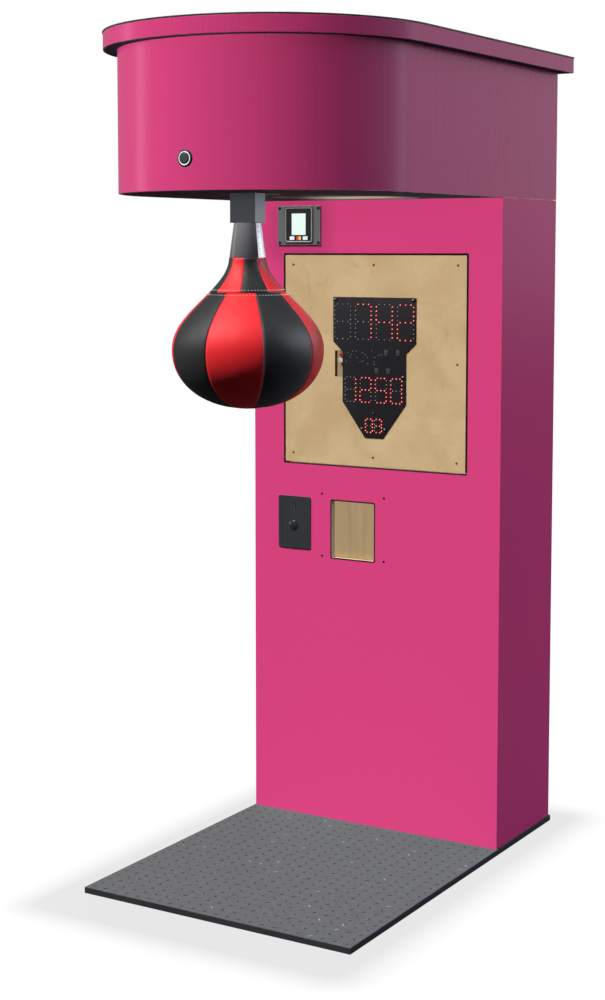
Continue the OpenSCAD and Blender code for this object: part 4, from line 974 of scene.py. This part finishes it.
stitch_tree, tin, tout = geometry_tree(
    "stitch_rows", Radius="Float", Height="Float", Pitch="Float", Stitch="Object", Thread="Material")
ring = put(stitch_tree, "GeometryNodeCurvePrimitiveCircle", {
    "Resolution": 128, "Radius": tin["Radius"]}).outputs[0]
raised = put(stitch_tree, "GeometryNodeSetPosition", {
    "Geometry": ring, "Offset": vector_of(stitch_tree, Z=tin["Height"])}).outputs[0]
even = put(stitch_tree, "GeometryNodeResampleCurve", {"Curve": raised, "Length": tin["Pitch"]},
           mode="LENGTH").outputs[0]
along = put(stitch_tree, "GeometryNodeInputTangent").outputs[0]
aligned = put(stitch_tree, "FunctionNodeAlignRotationToVector", {"Vector": along}, axis="X").outputs[0]
hand_out(stitch_tree, planted(stitch_tree, even, tin["Stitch"], aligned), tin["Thread"], tout)


def stitch():
    """One stitch: a short thread that dives into the leather at both ends."""
    shape = bmesh.new()
    rings = []
    for i in range(7):
        share = i / 6
        x = (share - 0.5) * STITCH_LONG
        lift_z = 0.0007 * math.sin(math.pi * share) - 0.0004
        thick = STITCH_THICK * (0.7 + 0.3 * math.sin(math.pi * share))
        rings.append([shape.verts.new((x, thick * math.cos(a), lift_z + thick * math.sin(a)))
                      for a in (math.pi / 3 * k for k in range(6))])
    skinned(shape, rings)
    shape.faces.new(rings[0][::-1])
    shape.faces.new(rings[-1])
    bmesh.ops.recalc_face_normals(shape, faces=shape.faces)
    return piece_from(shape, "stitch")


thread, tree, shader = new_material("thread", Roughness=0.7)
twist = put(tree, "ShaderNodeTexWave", {
    "Vector": object_place(tree), "Scale": 900.0, "Distortion": 1.0}).outputs["Fac"]
feed(shader, Base_Color=blended(tree, twist, "b3b1ac", "f0eeea"))
bump(shader, twist, 0.0002)
template = stitch()
for row_name, side in (("stitches_below", -1), ("stitches_above", 1)):
    up = SEAM_UP + side * STITCH_OFF_SEAM
    made = grow(stitch_tree, row_name, bpy.data.meshes.new("thread_seed"), Radius=ball_outline(up) + 0.0006,
                Height=up, Pitch=STITCH_PITCH, Stitch=template, Thread=thread)
    for vert in made.data.vertices:
        panels = math.atan2(vert.co.y, vert.co.x) / (2 * math.pi / GORES) + (0.0 if side < 0 else 0.5)
        across = 2 * (panels - math.floor(panels)) - 1
        lifted = 1 + PUFF * (1 - across ** 4) / ball_outline(up)
        vert.co.x, vert.co.y = vert.co.x * lifted, vert.co.y * lifted
    made.data.transform(Matrix.Translation((0, pivot_y, ball_z)))
    finish_piece(made, "swing", "black_leather", [])
bpy.data.objects.remove(template)


# Canopy wall
# One sheet of thin board bent round the deck, with a round front and a flat back, and faced with
# the same pink laminate. It meets the column behind, over a narrow shadow gap.

def glossy_laminate():
    """The canopy's laminate, polished along the wall, with faint upright wipe marks in its gloss."""
    material, tree, shader = new_material("pink_canopy", Specular_IOR_Level=0.17)
    skin = group_node(tree, skin_group, Vector=object_place(tree), Fineness=420.0, Patches=3.0)
    wiped = noise(tree, object_place(tree, scale=(1, 1, 0.02)), 70.0, 5.0)
    feed(shader, Base_Color=blended(tree, skin["Patch"], rgb(PINK, 0.98), rgb(PINK, 1.02)),
         Roughness=ramp(tree, wiped, 0.35, 0.75, 0.26, 0.29))
    bump(shader, skin["Height"], 0.000002)
    return plain_to_neighbours(material)


canopy_pink = glossy_laminate()
dressed("hood_skin", 0.0008, "cabinet", "pink_panel", canopy_pink)


# Start button
# A push button in the canopy's front: a black bezel that clamps it, a ring lens that lights up
# white, and a grey cap inside the ring.

bezel_black = coated("bezel_black", "2a2d30", "55585c", roughness=0.28, wear=0.3)
dressed("start_housing", 0.0006, "cabinet", "black_plastic", bezel_black, segments=3)
lens, tree, shader = new_material("ring_lens", Roughness=0.25, Emission_Strength=0.35)
lens_tone = blended(tree, noise(tree, object_place(tree), 500.0), "dfe6ea", "ffffff")
feed(shader, Base_Color=lens_tone, Emission_Color=lens_tone)
dressed("start_ring", 0.0004, "cabinet", "light_ring", lens)
cap_grey = coated("cap_grey", "43474b", "5a5e62", roughness=0.35, wear=0.2)
dressed("start_cap", 0.0005, "start_push", "cap_grey", cap_grey, segments=3)


# Lid
# A thick board over the canopy, dark below, with a pink band glued round its edge and a black
# plastic sheet on top that stands out a little past the band.

dressed("lid_board", 0.0008, "cabinet", "dark_board", dark_stain)
dressed("lid_rim", 0.0007, "cabinet", "pink_panel", canopy_pink)
sheet_black = coated("sheet_black", "2b2d2f", "55585a", roughness=0.5, fineness=300.0, depth=0.00015)
dressed("lid_sheet", 0.0012, "cabinet", "top_sheet", sheet_black, segments=3)


# Display board
# A square of raw board let into the front panel with a narrow gap all round and held by eight
# black screws. It has a cloudy, mottled face and a routed pocket for the plugs.

BOARD_SCREW_SHARE = 0.78


def mottled_board():
    """Raw board: sandy clouds of light and dark with a few darker wisps, and a fine sanded tooth."""
    material, tree, shader = new_material("mottled_board", Roughness=0.75, Specular_IOR_Level=0.25)
    where = object_place(tree)
    clouds = noise(tree, where, 9.0, 5.0, 0.5, 0.8)
    wisps = noise(tree, object_place(tree, scale=(1, 1, 0.5), turn=(0, 0.5, 0)), 24.0, 4.0, distortion=1.6)
    ground = blended(tree, ramp(tree, clouds, 0.34, 0.66), "c2a67a", "d0b68b")
    feed(shader, Base_Color=blended(tree, ramp(tree, wisps, 0.6, 0.8, to_max=0.35), ground, "a38a63"))
    bump(shader, noise(tree, where, 900.0, 3.0), 0.00008)
    return material


# The board's sides and the pocket's floor are painted darker than its face, as shade in the gap and the
# pocket.
display_board = dressed("display_board", 0.0005, "cabinet", "raw_board", mottled_board(),
                        wood("board_side", "6a5e50", "554b40"), wood("pocket_floor", "a8926f", "967f5c"))
board_low, board_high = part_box("display_board")
for face in display_board.data.polygons:
    routed = board_low.y + 0.002 < face.center.y < board_high.y - 0.002
    face.material_index = (2 if routed else 0) if abs(face.normal.y) > 0.3 else 1
def solids_of(node):
    """Low and high corners of each separate solid in a CAD node."""
    shape = bmesh.new()
    shape.from_mesh(nodes[node].data)
    bmesh.ops.remove_doubles(shape, verts=shape.verts, dist=1e-6)
    boxes, seen = [], set()
    for start in shape.verts:
        if start in seen:
            continue
        solid, queue = [], [start]
        seen.add(start)
        while queue:
            vert = queue.pop()
            solid.append(vert.co.copy())
            fresh = {edge.other_vert(vert) for edge in vert.link_edges} - seen
            seen |= fresh
            queue += fresh
        boxes.append(corners_of(solid))
    shape.free()
    return boxes


def cross_screw():
    """A round head of unit radius, looking along +Z, with a cross recess cut into its dome."""
    shape = bmesh.new()
    rings = turned(shape, ((1.0, -0.25), (1.0, 0.06), (0.93, 0.17), (0.74, 0.27)), 24)
    shape.faces.new(rings[0][::-1])
    arm, reach, floor, lip = 0.13, 0.56, 0.02, 0.3
    cross = [(reach, -arm), (reach, arm), (arm, arm), (arm, reach), (-arm, reach), (-arm, arm),
             (-reach, arm), (-reach, -arm), (-arm, -arm), (-arm, -reach), (arm, -reach), (arm, -arm)]
    upper_cross = [shape.verts.new((x, y, lip)) for x, y in cross]
    lower_cross = [shape.verts.new((x * 0.8, y * 0.8, floor)) for x, y in cross]
    for i in range(12):
        j = (i + 1) % 12
        shape.faces.new((upper_cross[i], upper_cross[j], lower_cross[j], lower_cross[i]))
    shape.faces.new(lower_cross)
    edges = [e for e in shape.edges if e.is_boundary]
    bmesh.ops.triangle_fill(shape, use_beauty=True, edges=edges)
    bmesh.ops.recalc_face_normals(shape, faces=shape.faces)
    return piece_from(shape, "cross_screw", smooth=30)


blackened = coated("blackened_screw", "7d6238", "8c7a62", roughness=0.45, metallic=0.3, wear=0.4)
screw_black = coated("screw_black", "222426", "5a5c5e", roughness=0.35, metallic=0.6, wear=0.4)
turner = random.Random(4)
board_screws, reader_screws = [], []
for low, high in solids_of("panel_screws"):
    spot = Vector(((low.x + high.x) / 2, high.y, (low.z + high.z) / 2))
    screws = board_screws if high.y > board_low.y - 0.001 else reader_screws
    screws.append(((spot, (math.pi / 2, turner.uniform(0, math.pi), 0)), (high.x - low.x) / 2))
screw_head = cross_screw()
for screws_name, screws, finish, share, replaced in (
        ("board_screws", board_screws, blackened, BOARD_SCREW_SHARE, ["panel_screws"]),
        ("reader_screws", reader_screws, screw_black, 1.0, [])):
    places = [place for place, _ in screws]
    heads_on(screws_name, screw_head, places, finish, "cabinet", "screw_black", *replaced,
             size=screws[0][1] * share)
bpy.data.objects.remove(screw_head)


# Display circuit board
# A dark lacquered circuit board in the shape of a shield, screwed flat on the raw board. Copper
# tracks show faintly under the lacquer, and small chips sit between the numbers.

# Display circuit board
# A dark lacquered circuit board in the shape of a shield, screwed flat on the raw board. Copper
# tracks show faintly under the lacquer, and small chips sit between the numbers.

def solder_mask():
    """Dark lacquer over copper: faint straight tracks, and a fine even gloss."""
    material, tree, shader = new_material("solder_mask", Roughness=0.42, Specular_IOR_Level=0.25)
    bricks = put(tree, "ShaderNodeTexBrick", {
        "Vector": object_place(tree, turn=(math.pi / 2, 0, 0)), "Scale": 70.0, "Mortar Size": 0.012,
        "Color1": rgb("232226"), "Color2": rgb("26252a"), "Mortar": rgb("2e2d33")}).outputs["Color"]
    film = noise(tree, object_place(tree), 30.0, 4.0)
    feed(shader, Base_Color=blended(tree, film, "1f1e22", bricks))
    bump(shader, film, 0.00005)
    return material


finish_piece(eased("display_pcb", 0.0002), "cabinet", "circuit", [solder_mask()], "display_pcb")


# Lamps of the display
# Round lamps in rows that make seven-part numbers. The lit ones are red with a hot pale core, and
# the dark ones are clear grey domes.

LIT_RADIUS = 0.0023
DARK_RADIUS = 0.0015


def lamp_glass(name, rim, core, strength, roughness):
    """A small dome, paler in the middle of each lamp by the attribute middle."""
    material, tree, shader = new_material(name, Roughness=roughness, Emission_Strength=strength)
    heart = maths(tree, "MULTIPLY", attribute(tree, "middle"), noise(tree, object_place(tree), 800.0))
    tone = blended(tree, ramp(tree, heart, 0.38, 0.56), rim, core)
    feed(shader, Base_Color=tone, Emission_Color=tone)
    return material


def lamp_head():
    """A lamp of unit radius along +Z: a flange, a short barrel and a dome, with middle set on its top."""
    shape = bmesh.new()
    middle = shape.verts.layers.float.new("middle")
    rings = turned(
        shape, ((1.0, -0.3), (1.0, 0.12), (0.86, 0.16), (0.84, 0.45), (0.66, 0.72), (0.36, 0.88)), 10)
    shape.faces.new(rings[-1])
    shape.faces.new(rings[0][::-1])
    for level, value in ((3, 0.3), (4, 0.75), (5, 1.0)):
        for vert in rings[level]:
            vert[middle] = value
    bmesh.ops.recalc_face_normals(shape, faces=shape.faces)
    return piece_from(shape, "lamp_head", smooth=60)


lit_red = lamp_glass("lamp_lit", "b40c0e", "ffc0ac", 0.95, 0.3)
dark_clear = lamp_glass("lamp_dark", "8d9092", "c4c6c8", 0.0, 0.25)
lamp = lamp_head()
for node_name, finish, slot_name, size in (
        ("leds_lit", lit_red, "lamp_lit", LIT_RADIUS), ("leds_dark", dark_clear, "lamp_dark", DARK_RADIUS)):
    places = [(Vector(((low.x + high.x) / 2, high.y, (low.z + high.z) / 2)), (math.pi / 2, 0, 0))
              for low, high in solids_of(node_name)]
    heads_on(node_name + "_domes", lamp, places, finish, "cabinet", slot_name, node_name, size=size)
bpy.data.objects.remove(lamp)


# Parts on the circuit board
# Four moulded chips with rows of tinned legs, a scatter of small resistors, dark clips with nylon
# pins at the corners, and the red and white plugs in the board's pocket.

LEG_PITCH = 0.0034
CHIP_SLIM = 0.66
CHIP_CUT = 0.003
RESISTORS = 19
RESISTOR_FIELD = (-0.078, 0.026), (1.194, 1.228)
RESISTOR_APART = 0.0055
FACING_FRONT = (math.pi / 2, 0, 0)


def small_block(name, wide, deep, high):
    """A plain block that stands on its base at zero."""
    shape = bmesh.new()
    bmesh.ops.create_cube(shape, size=1.0)
    bmesh.ops.transform(shape, verts=shape.verts, matrix=(
        Matrix.Translation((0, 0, high / 2)) @ Matrix.Diagonal((wide, deep, high, 1))))
    return piece_from(shape, name, smooth=30)


chip_black = coated("chip_body", "3c3c40", "5a5b5e", roughness=0.5, wear=0.3)
nylon = coated("nylon_plug", "bdbdb0", "cfcfc6", roughness=0.45, wear=0.2)
plug_red = coated("plug_red", "982418", "a8382c", roughness=0.45, wear=0.2)
tinned = coated("tinned_leg", "606266", "85878a", roughness=0.4, wear=0.3)
tinned_end = coated("resistor_end", "808388", "a0a2a5", roughness=0.4, wear=0.3)
board_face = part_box("display_pcb")[0].y
board_middle = (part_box("display_pcb")[0].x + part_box("display_pcb")[1].x) / 2
parts = eased("pcb_parts", 0.0002)
chips, clips, plugs = [], [], []
for low, high in solids_of("pcb_parts"):
    group = plugs if low.y > board_face + 0.002 else (chips if low.y > board_face - 0.002 else clips)
    group.append((low, high))


def holds(low, high, spot):
    """Whether a place lies in a box."""
    return all(low[k] - 1e-4 <= spot[k] <= high[k] + 1e-4 for k in range(3))


upper_plug = max(low.z for low, _ in plugs)
for face in parts.data.polygons:
    for low, high in plugs:
        if holds(low, high, face.center):
            face.material_index = 1 if low.z < upper_plug else 2
for low, high in chips:
    middle_x = (low.x + high.x) / 2
    for vert in parts.data.vertices:
        if holds(low, high, vert.co):
            vert.co.x = middle_x + (vert.co.x - middle_x) * CHIP_SLIM
            if vert.co.z < (low.z + high.z) / 2:
                vert.co.z += CHIP_CUT
finish_piece(parts, "cabinet", "circuit", [chip_black, nylon, plug_red], "pcb_parts")
pins = []
for low, high in clips:
    if abs((low.x + high.x) / 2 - board_middle) > 0.01:
        share = 0.3 if low.x < board_middle else 0.7
        spot = Vector((low.x * (1 - share) + high.x * share, low.y, (low.z + high.z) / 2))
        pins.append((spot, FACING_FRONT))
legs = []
for low, high in chips:
    count = int((high.z - low.z - CHIP_CUT) / LEG_PITCH)
    slim = (high.x - low.x) / 2 * CHIP_SLIM + 0.0004
    middle_x, middle_z = (low.x + high.x) / 2, (low.z + CHIP_CUT + high.z) / 2
    for side in (middle_x - slim, middle_x + slim):
        legs += [(Vector((side, board_face, middle_z + (i - (count - 1) / 2) * LEG_PITCH)), FACING_FRONT)
                 for i in range(count)]
sower = random.Random(21)
sown = []
while len(sown) < RESISTORS:
    spot = Vector((sower.uniform(*RESISTOR_FIELD[0]), board_face, sower.uniform(*RESISTOR_FIELD[1])))
    if all((spot - other[0]).length > RESISTOR_APART for other in sown):
        sown.append((spot, (math.pi / 2, sower.choice((0, math.pi / 2)), 0)))
for parts_name, head, places, finish in (
        ("clip_pins", dome("clip_pin", 0.0017, 0.0012), pins, nylon),
        ("chip_legs", small_block("leg", 0.0016, 0.0014, 0.0008), legs, tinned),
        ("resistors", small_block("resistor", 0.0026, 0.0017, 0.0008), sown, tinned_end)):
    heads_on(parts_name, head, places, finish, "cabinet", "circuit")
    bpy.data.objects.remove(head)


# Card reader
# A grey painted plate with four screws and a moulded case in it, whose black glass front has a
# bright screen and three plain tiles.

TILE_NARROWED = 0.86


def moulded_case():
    """Black moulding whose front rim is painted like the plate, with a painted highlight as a thin bright
    line round the glass.
    """
    material = coated("case_black", "202224", "4d4f52", roughness=0.38, wear=0.3)
    tree, shader, _ = opened(material)
    away = distance_in_front(tree, *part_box("reader_glass"), 0.004)
    # A thin bright line next to the glass is a painted highlight on the rim.
    rim_paint_and_highlight = blended(tree, ramp(tree, away, 0.0016, 0.0022, 1.0, 0.0), "4b4c4f", "aeb0b3")
    facing = part_of(tree, put(tree, "ShaderNodeNewGeometry").outputs["Normal"], "Y")
    feed(shader, Base_Color=blended(tree, maths(tree, "LESS_THAN", facing, -0.35), "202224", rim_paint_and_highlight))
    return material


reader_grey = coated("reader_grey", "646567", "9a9b9c", roughness=0.42, wear=0.5, variation=0.05)
dressed("reader_plate", 0.0006, "cabinet", "reader_grey", reader_grey, segments=3)
dressed("reader_body", 0.0012, "cabinet", "reader_case", moulded_case(), segments=3)
black_glass, tree, shader = new_material("black_glass", Roughness=0.05, Coat_Weight=1.0, Coat_Roughness=0.03)
feed(shader, Base_Color=blended(tree, noise(tree, object_place(tree), 40.0, 3.0), "0e1012", "17191b"))
dressed("reader_glass", 0.0003, "cabinet", "black_glass", black_glass)

screen_light, tree, shader = new_material(
    "screen_light", Base_Color=rgb("9aaba5"), Roughness=0.3, Emission_Strength=0.66)
rows_of = put(tree, "ShaderNodeTexWave", {
    "Vector": object_place(tree), "Scale": 260.0}, bands_direction="Z").outputs["Fac"]
feed(shader, Emission_Color=blended(tree, rows_of, "e2f6ee", "ecfcf5"))
finish_node("reader_screen", screen_light)


def tile_print():
    """Three plain tiles: white at the sides, red and pale yellow in the middle one."""
    material, tree, shader = new_material("tile_print", Roughness=0.4)
    low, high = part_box("reader_tiles")
    centre, tile = (low.x + high.x) / 2, (high.x - low.x) / 6
    away = maths(tree, "SUBTRACT", part_of(tree, place_in(tree), "X"), centre)
    inside = maths(tree, "LESS_THAN", maths(tree, "ABSOLUTE", away), tile)
    warm = blended(tree, ramp(tree, away, -tile * 0.3, tile * 0.3), "e23a2a", "f7d98a")
    feed(shader, Base_Color=blended(tree, inside, "ffffff", warm))
    return material


tiles = eased("reader_tiles", 0.0)
for low, high in solids_of("reader_tiles"):
    middle_x = (low.x + high.x) / 2
    for vert in tiles.data.vertices:
        if low.x - 1e-4 <= vert.co.x <= high.x + 1e-4:
            vert.co.x = middle_x + (vert.co.x - middle_x) * TILE_NARROWED
finish_piece(tiles, "cabinet", "tiles", [tile_print()], "reader_tiles")


# Coin entry
# A dark plate with a coin slot, two shallow grooves and a domed return button. The validator
# behind it drops good coins down a steel chute into the cash box.

coin_paint = coated("coin_paint", "2f3236", "5d6165", roughness=0.38, wear=0.45, variation=0.06)
slot_lip = coated("slot_lip", "b4b6b9", "c4c6c8", roughness=0.4, wear=0.2)
coin_plate = dressed("coin_plate", 0.0006, "cabinet", "dark_plate", coin_paint, slot_lip, segments=3)
plate_low, plate_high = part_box("coin_plate")
for face in coin_plate.data.polygons:
    beside = face.center.x - (plate_low.x + plate_high.x) / 2
    if 0 < beside < 0.006 and face.center.z > plate_high.z - 0.055 and abs(face.normal.x) > 0.3:
        face.material_index = 1
button_gloss = coated("button_gloss", "222427", "777a7d", roughness=0.2, wear=0.4, sheen=0.6)
finish_piece(eased("return_button", 0.0006, segments=3), "return_push", "black_plastic", [button_gloss],
             "return_button")
tin = metal("tin", "b4b8ba", 0.36, streak=(1, 1, 14))
validator_grey = coated("validator_grey", "3e4246", "6a6d70", roughness=0.45)
dressed("coin_validator", 0.001, "cabinet", "grey_plastic", validator_grey)
dressed("coin_chute", 0.0003, "cabinet", "sheet_steel", tin)
dressed("cash_box", 0.0003, "cabinet", "sheet_steel", tin)


# Bill window, electronics and hinges
# A blank of raw board closes the window that a bill acceptor would fill. A control board, a power
# supply and the mains inlet sit behind, and the door's hinges hang on the rear panel.

blank_board = wood("blank_board", "b29a74", "9f8864", turn=(0, math.pi / 2, 0), fineness=60.0)
blank = dressed("bill_blank", 0.0008, "cabinet", "raw_board", blank_board)
board_green = coated("board_green", "2c6a3c", "6a8a5a", roughness=0.4)
dressed("control_board", 0.0003, "cabinet", "board_green", board_green)
dressed("power_supply", 0.0008, "cabinet", "sheet_steel", metal("pressed_steel", "b9bdbf", 0.4))
dressed("power_inlet", 0.0006, "cabinet", "black_plastic", black_moulding)
dressed("door_hinges", 0.0006, "cabinet", "sheet_steel", zinc)


# Rear door
# A laminated board hung on three hinges inside the rear panel's opening, with vent slots near its
# top and a cam lock on the other side.

panel("rear_door", 1, pink, sawn_edge, body="door")
dressed("door_leaves", 0.0006, "door", "sheet_steel", zinc)
dressed("door_lock", 0.0004, "door", "bright_steel", ground_steel)
dressed("lock_cam", 0.0004, "lock", "bright_steel", ground_steel)


# Room
# A pale floor, with a painted shadow round the platform, and open white surroundings. The main lamp
# stands high at the front left, and others give the canopy, the ball and the sides their sheen. One
# overhead throws a soft shadow as well.

SHADE_LOW, SHADE_HIGH, SHADE_WIDE, SHADE_ROUND = (-0.405, -0.603), (0.395, 0.627), 0.125, 0.029
SHADE_DEPTH = 0.79
SHADE_CURVE = 0.551
FLOOR_MIRRORED = 0.08
KEY_AZIMUTH, KEY_HEIGHT, KEY_STRENGTH, KEY_SPREAD = -118, 52, 5.0, 26
BALL_KEY_HEIGHT, BALL_KEY_STRENGTH = 54, 5.3
SIDE_AZIMUTH, SIDE_HEIGHT, SIDE_GLOW = 43, 12, 1.95
MIRROR_AZIMUTH, MIRROR_DIM = 65, 0.25
SHADOW_LAMP_PLACE, SHADOW_LAMP_SIZE, SHADOW_LAMP_POWER = (-0.18, 0.06, 7.5), 0.86, 370
SHEEN_POWER = 18


def pale_floor():
    """White to the camera, with the lamp's shadow kept, and dark to the light that would bounce.
    Its glow fades within a hand's width of the platform: a painted shadow round it."""
    material, tree, shader = new_material("pale_floor", Roughness=0.95, Specular_IOR_Level=0.0)
    path = put(tree, "ShaderNodeLightPath").outputs
    seen = maths(tree, "MAXIMUM", path["Is Camera Ray"], path["Is Transmission Ray"])
    seen = maths(tree, "MAXIMUM", seen, maths(tree, "MULTIPLY", path["Is Glossy Ray"], FLOOR_MIRRORED))
    low, high = Vector(SHADE_LOW), Vector(SHADE_HIGH)
    away = group_node(tree, box_group, Vector=place_in(tree), Centre=(*(low + high) / 2, 0.0),
                      Half=(*(high - low) / 2, 1.0), Radius=SHADE_ROUND)["Distance"]
    # The glow dims near the platform: a painted shadow.
    fade = ramp(tree, away, from_max=SHADE_WIDE, interpolation_type="SMOOTHSTEP")
    level = ramp(tree, maths(tree, "POWER", fade, SHADE_CURVE), to_min=SHADE_DEPTH)
    shader.inputs["Emission Color"].default_value = (1, 1, 1, 1)
    feed(shader, Base_Color=blended(tree, seen, "3a3a3a", "404040"),
         Emission_Strength=maths(tree, "MULTIPLY", seen, level))
    return material


floor_shape = bmesh.new()
bmesh.ops.create_grid(floor_shape, x_segments=1, y_segments=1, size=40.0)
floor = piece_from(floor_shape, "floor")
floor.data.materials.append(pale_floor())


def towards(azimuth, height):
    """A unit vector at an azimuth from +X and a height over the floor, both in degrees."""
    az, el = math.radians(azimuth), math.radians(height)
    return Vector((math.cos(el) * math.cos(az), math.cos(el) * math.sin(az), math.sin(el)))


world = bpy.data.worlds.new("room")
bpy.context.scene.world = world
world.use_nodes = True
sky = world.node_tree
sky.nodes.clear()
path = put(sky, "ShaderNodeLightPath").outputs
in_view = maths(sky, "MAXIMUM", path["Is Camera Ray"], path["Is Transmission Ray"])
open_view = maths(sky, "MAXIMUM", in_view, path["Is Glossy Ray"])
look = put(sky, "ShaderNodeTexCoord").outputs["Generated"]
behind = vector_maths(sky, "DOT_PRODUCT", look, towards(MIRROR_AZIMUTH, 0))
mirrored = ramp(sky, behind, 0.2, 0.75, MIRROR_DIM, interpolation_type="SMOOTHSTEP")
facing = vector_maths(sky, "DOT_PRODUCT", look, towards(SIDE_AZIMUTH, SIDE_HEIGHT))
facing = maths(sky, "POWER", maths(sky, "MAXIMUM", facing, 0.0), 6.0)
level = maths(sky, "MULTIPLY_ADD", facing, SIDE_GLOW, 0.06)
backdrop = maths(sky, "MAXIMUM", in_view, mirrored)
dim = put(sky, "ShaderNodeBackground", {"Color": (0.82, 0.82, 1.16, 1), "Strength": level}).outputs[0]
white = put(sky, "ShaderNodeBackground", {"Color": (1, 1, 1, 1), "Strength": backdrop}).outputs[0]
mixed_sky = put(sky, "ShaderNodeMixShader", {0: open_view, 1: dim, 2: white}).outputs[0]
put(sky, "ShaderNodeOutputWorld", {"Surface": mixed_sky})


def lamp_from(name, kind, azimuth, height, distance, power, color, target=(0, 0, 0)):
    """A lamp at a distance from a place, turned towards it."""
    data = bpy.data.lights.new(name, kind)
    data.energy = power
    data.color = color
    made = placed(name, data)
    made.location = Vector(target) + distance * towards(azimuth, height)
    made.rotation_euler = (-towards(azimuth, height)).to_track_quat("-Z", "Y").to_euler()
    return made


def lamp_at(name, azimuth, height, distance, size, power, color, target=(0, 0, 1.2)):
    """A rectangular lamp round the machine."""
    made = lamp_from(name, "AREA", azimuth, height, distance, power, color, target)
    made.data.shape = "RECTANGLE"
    made.data.size, made.data.size_y = size
    return made


def aim(lamp, lights=(), leaves=(), passes=()):
    """Limits a lamp to the things that it lights, or names those that it leaves dark or shines through."""
    for role, things, state, user in (("lights", lights, "INCLUDE", "receiver_collection"),
                                      ("leaves", leaves, "EXCLUDE", "receiver_collection"),
                                      ("passes", passes, "EXCLUDE", "blocker_collection")):
        if things:
            gathered = bpy.data.collections.new(lamp.name + "_" + role)
            for thing in things:
                gathered.objects.link(thing)
            for entry in gathered.collection_objects:
                entry.light_linking.link_state = state
            setattr(lamp.light_linking, user, gathered)


overhung, ball_pieces = [], []
for thing in bpy.data.objects:
    if thing.type == "MESH" and thing is not floor:
        lowest = corners_of(thing.bound_box)[0]
        if lowest.z > 1.0 and lowest.y < 0.15:
            overhung.append(thing)
        if thing.name.startswith(("ball_red", "ball_black", "ball_welt", "stitches")):
            ball_pieces.append(thing)
for lamp_name, azimuth, height, strength, spread, limits in (
        ("key_lamp", KEY_AZIMUTH, KEY_HEIGHT, KEY_STRENGTH, KEY_SPREAD,
         {"passes": overhung + [display_board], "leaves": ball_pieces + [floor, blank]}),
        ("window_lamp", KEY_AZIMUTH, KEY_HEIGHT, KEY_STRENGTH, KEY_SPREAD,
         {"passes": overhung + [front_panel], "lights": [blank]}),
        ("jamb_lamp", -5, 10, 0.9, 4, {"lights": [front_panel, display_board]}),
        ("side_lamp", 5, 8, 0.19, 40, {"lights": [side_panels]}),
        ("ball_lamp", KEY_AZIMUTH, BALL_KEY_HEIGHT, BALL_KEY_STRENGTH, 8,
         {"passes": overhung, "lights": ball_pieces})):
    made = lamp_from(lamp_name, "SUN", azimuth, height, 6, strength, (1.0, 0.98, 0.97))
    made.data.angle = math.radians(spread)
    aim(made, **limits)
for lamp_name, azimuth, height, size, power, color in (
        ("ball_sheen_left", -146, 28, (1.2, 1.2), 60, (1.0, 0.98, 0.95)),
        ("ball_sheen_right", 38, 19, (0.6, 0.8), 80, (0.82, 0.9, 1.0)),
        ("ball_sheen_top", 9, 63, (1.5, 1.5), 26, (0.95, 0.97, 1.0))):
    made = lamp_at(lamp_name, azimuth, height, 3.0, size, power, color, target=(0, pivot_y, 1.27))
    made.visible_diffuse = False
    aim(made, lights=ball_pieces, passes=overhung)
lamp_at("sheen_lamp", -167, 4, 4.5, (0.45, 3.2), SHEEN_POWER, (1.0, 0.96, 1.0), target=(0, -0.2, 1.5))
lamp_at("cool_lamp", 46, 4, 4.0, (0.7, 2.6), 12, (0.84, 0.88, 1.0), target=(0.3, -0.2, 1.5))
shadow_lamp = lamp_at("shadow_lamp", 0, 90, 1.0, (SHADOW_LAMP_SIZE, SHADOW_LAMP_SIZE), SHADOW_LAMP_POWER,
                      (1, 1, 1))
shadow_lamp.location = SHADOW_LAMP_PLACE
aim(shadow_lamp, lights=[floor])


# Camera
# It stands at the front right of the machine at a grown person's eye height, and looks a little down.

CAMERA_PLACE = (2.1671, -3.6636, 1.4817)
CAMERA_YAW = -0.5451
CAMERA_PITCH = 0.0921
FOCAL_PIXELS = 1797.0
CENTRE_ROW = 414.5
FRAME_HIGH = 1000

camera = placed("camera", bpy.data.cameras.new("camera"))
camera.location = CAMERA_PLACE
camera.rotation_euler = Euler((math.pi / 2 - CAMERA_PITCH, 0, -CAMERA_YAW))
camera.data.sensor_width = 36.0
camera.data.lens = FOCAL_PIXELS * camera.data.sensor_width / FRAME_HIGH
camera.data.shift_y = (CENTRE_ROW - FRAME_HIGH / 2) / FRAME_HIGH
bpy.context.scene.camera = camera
bpy.context.scene.view_settings.view_transform = "Standard"
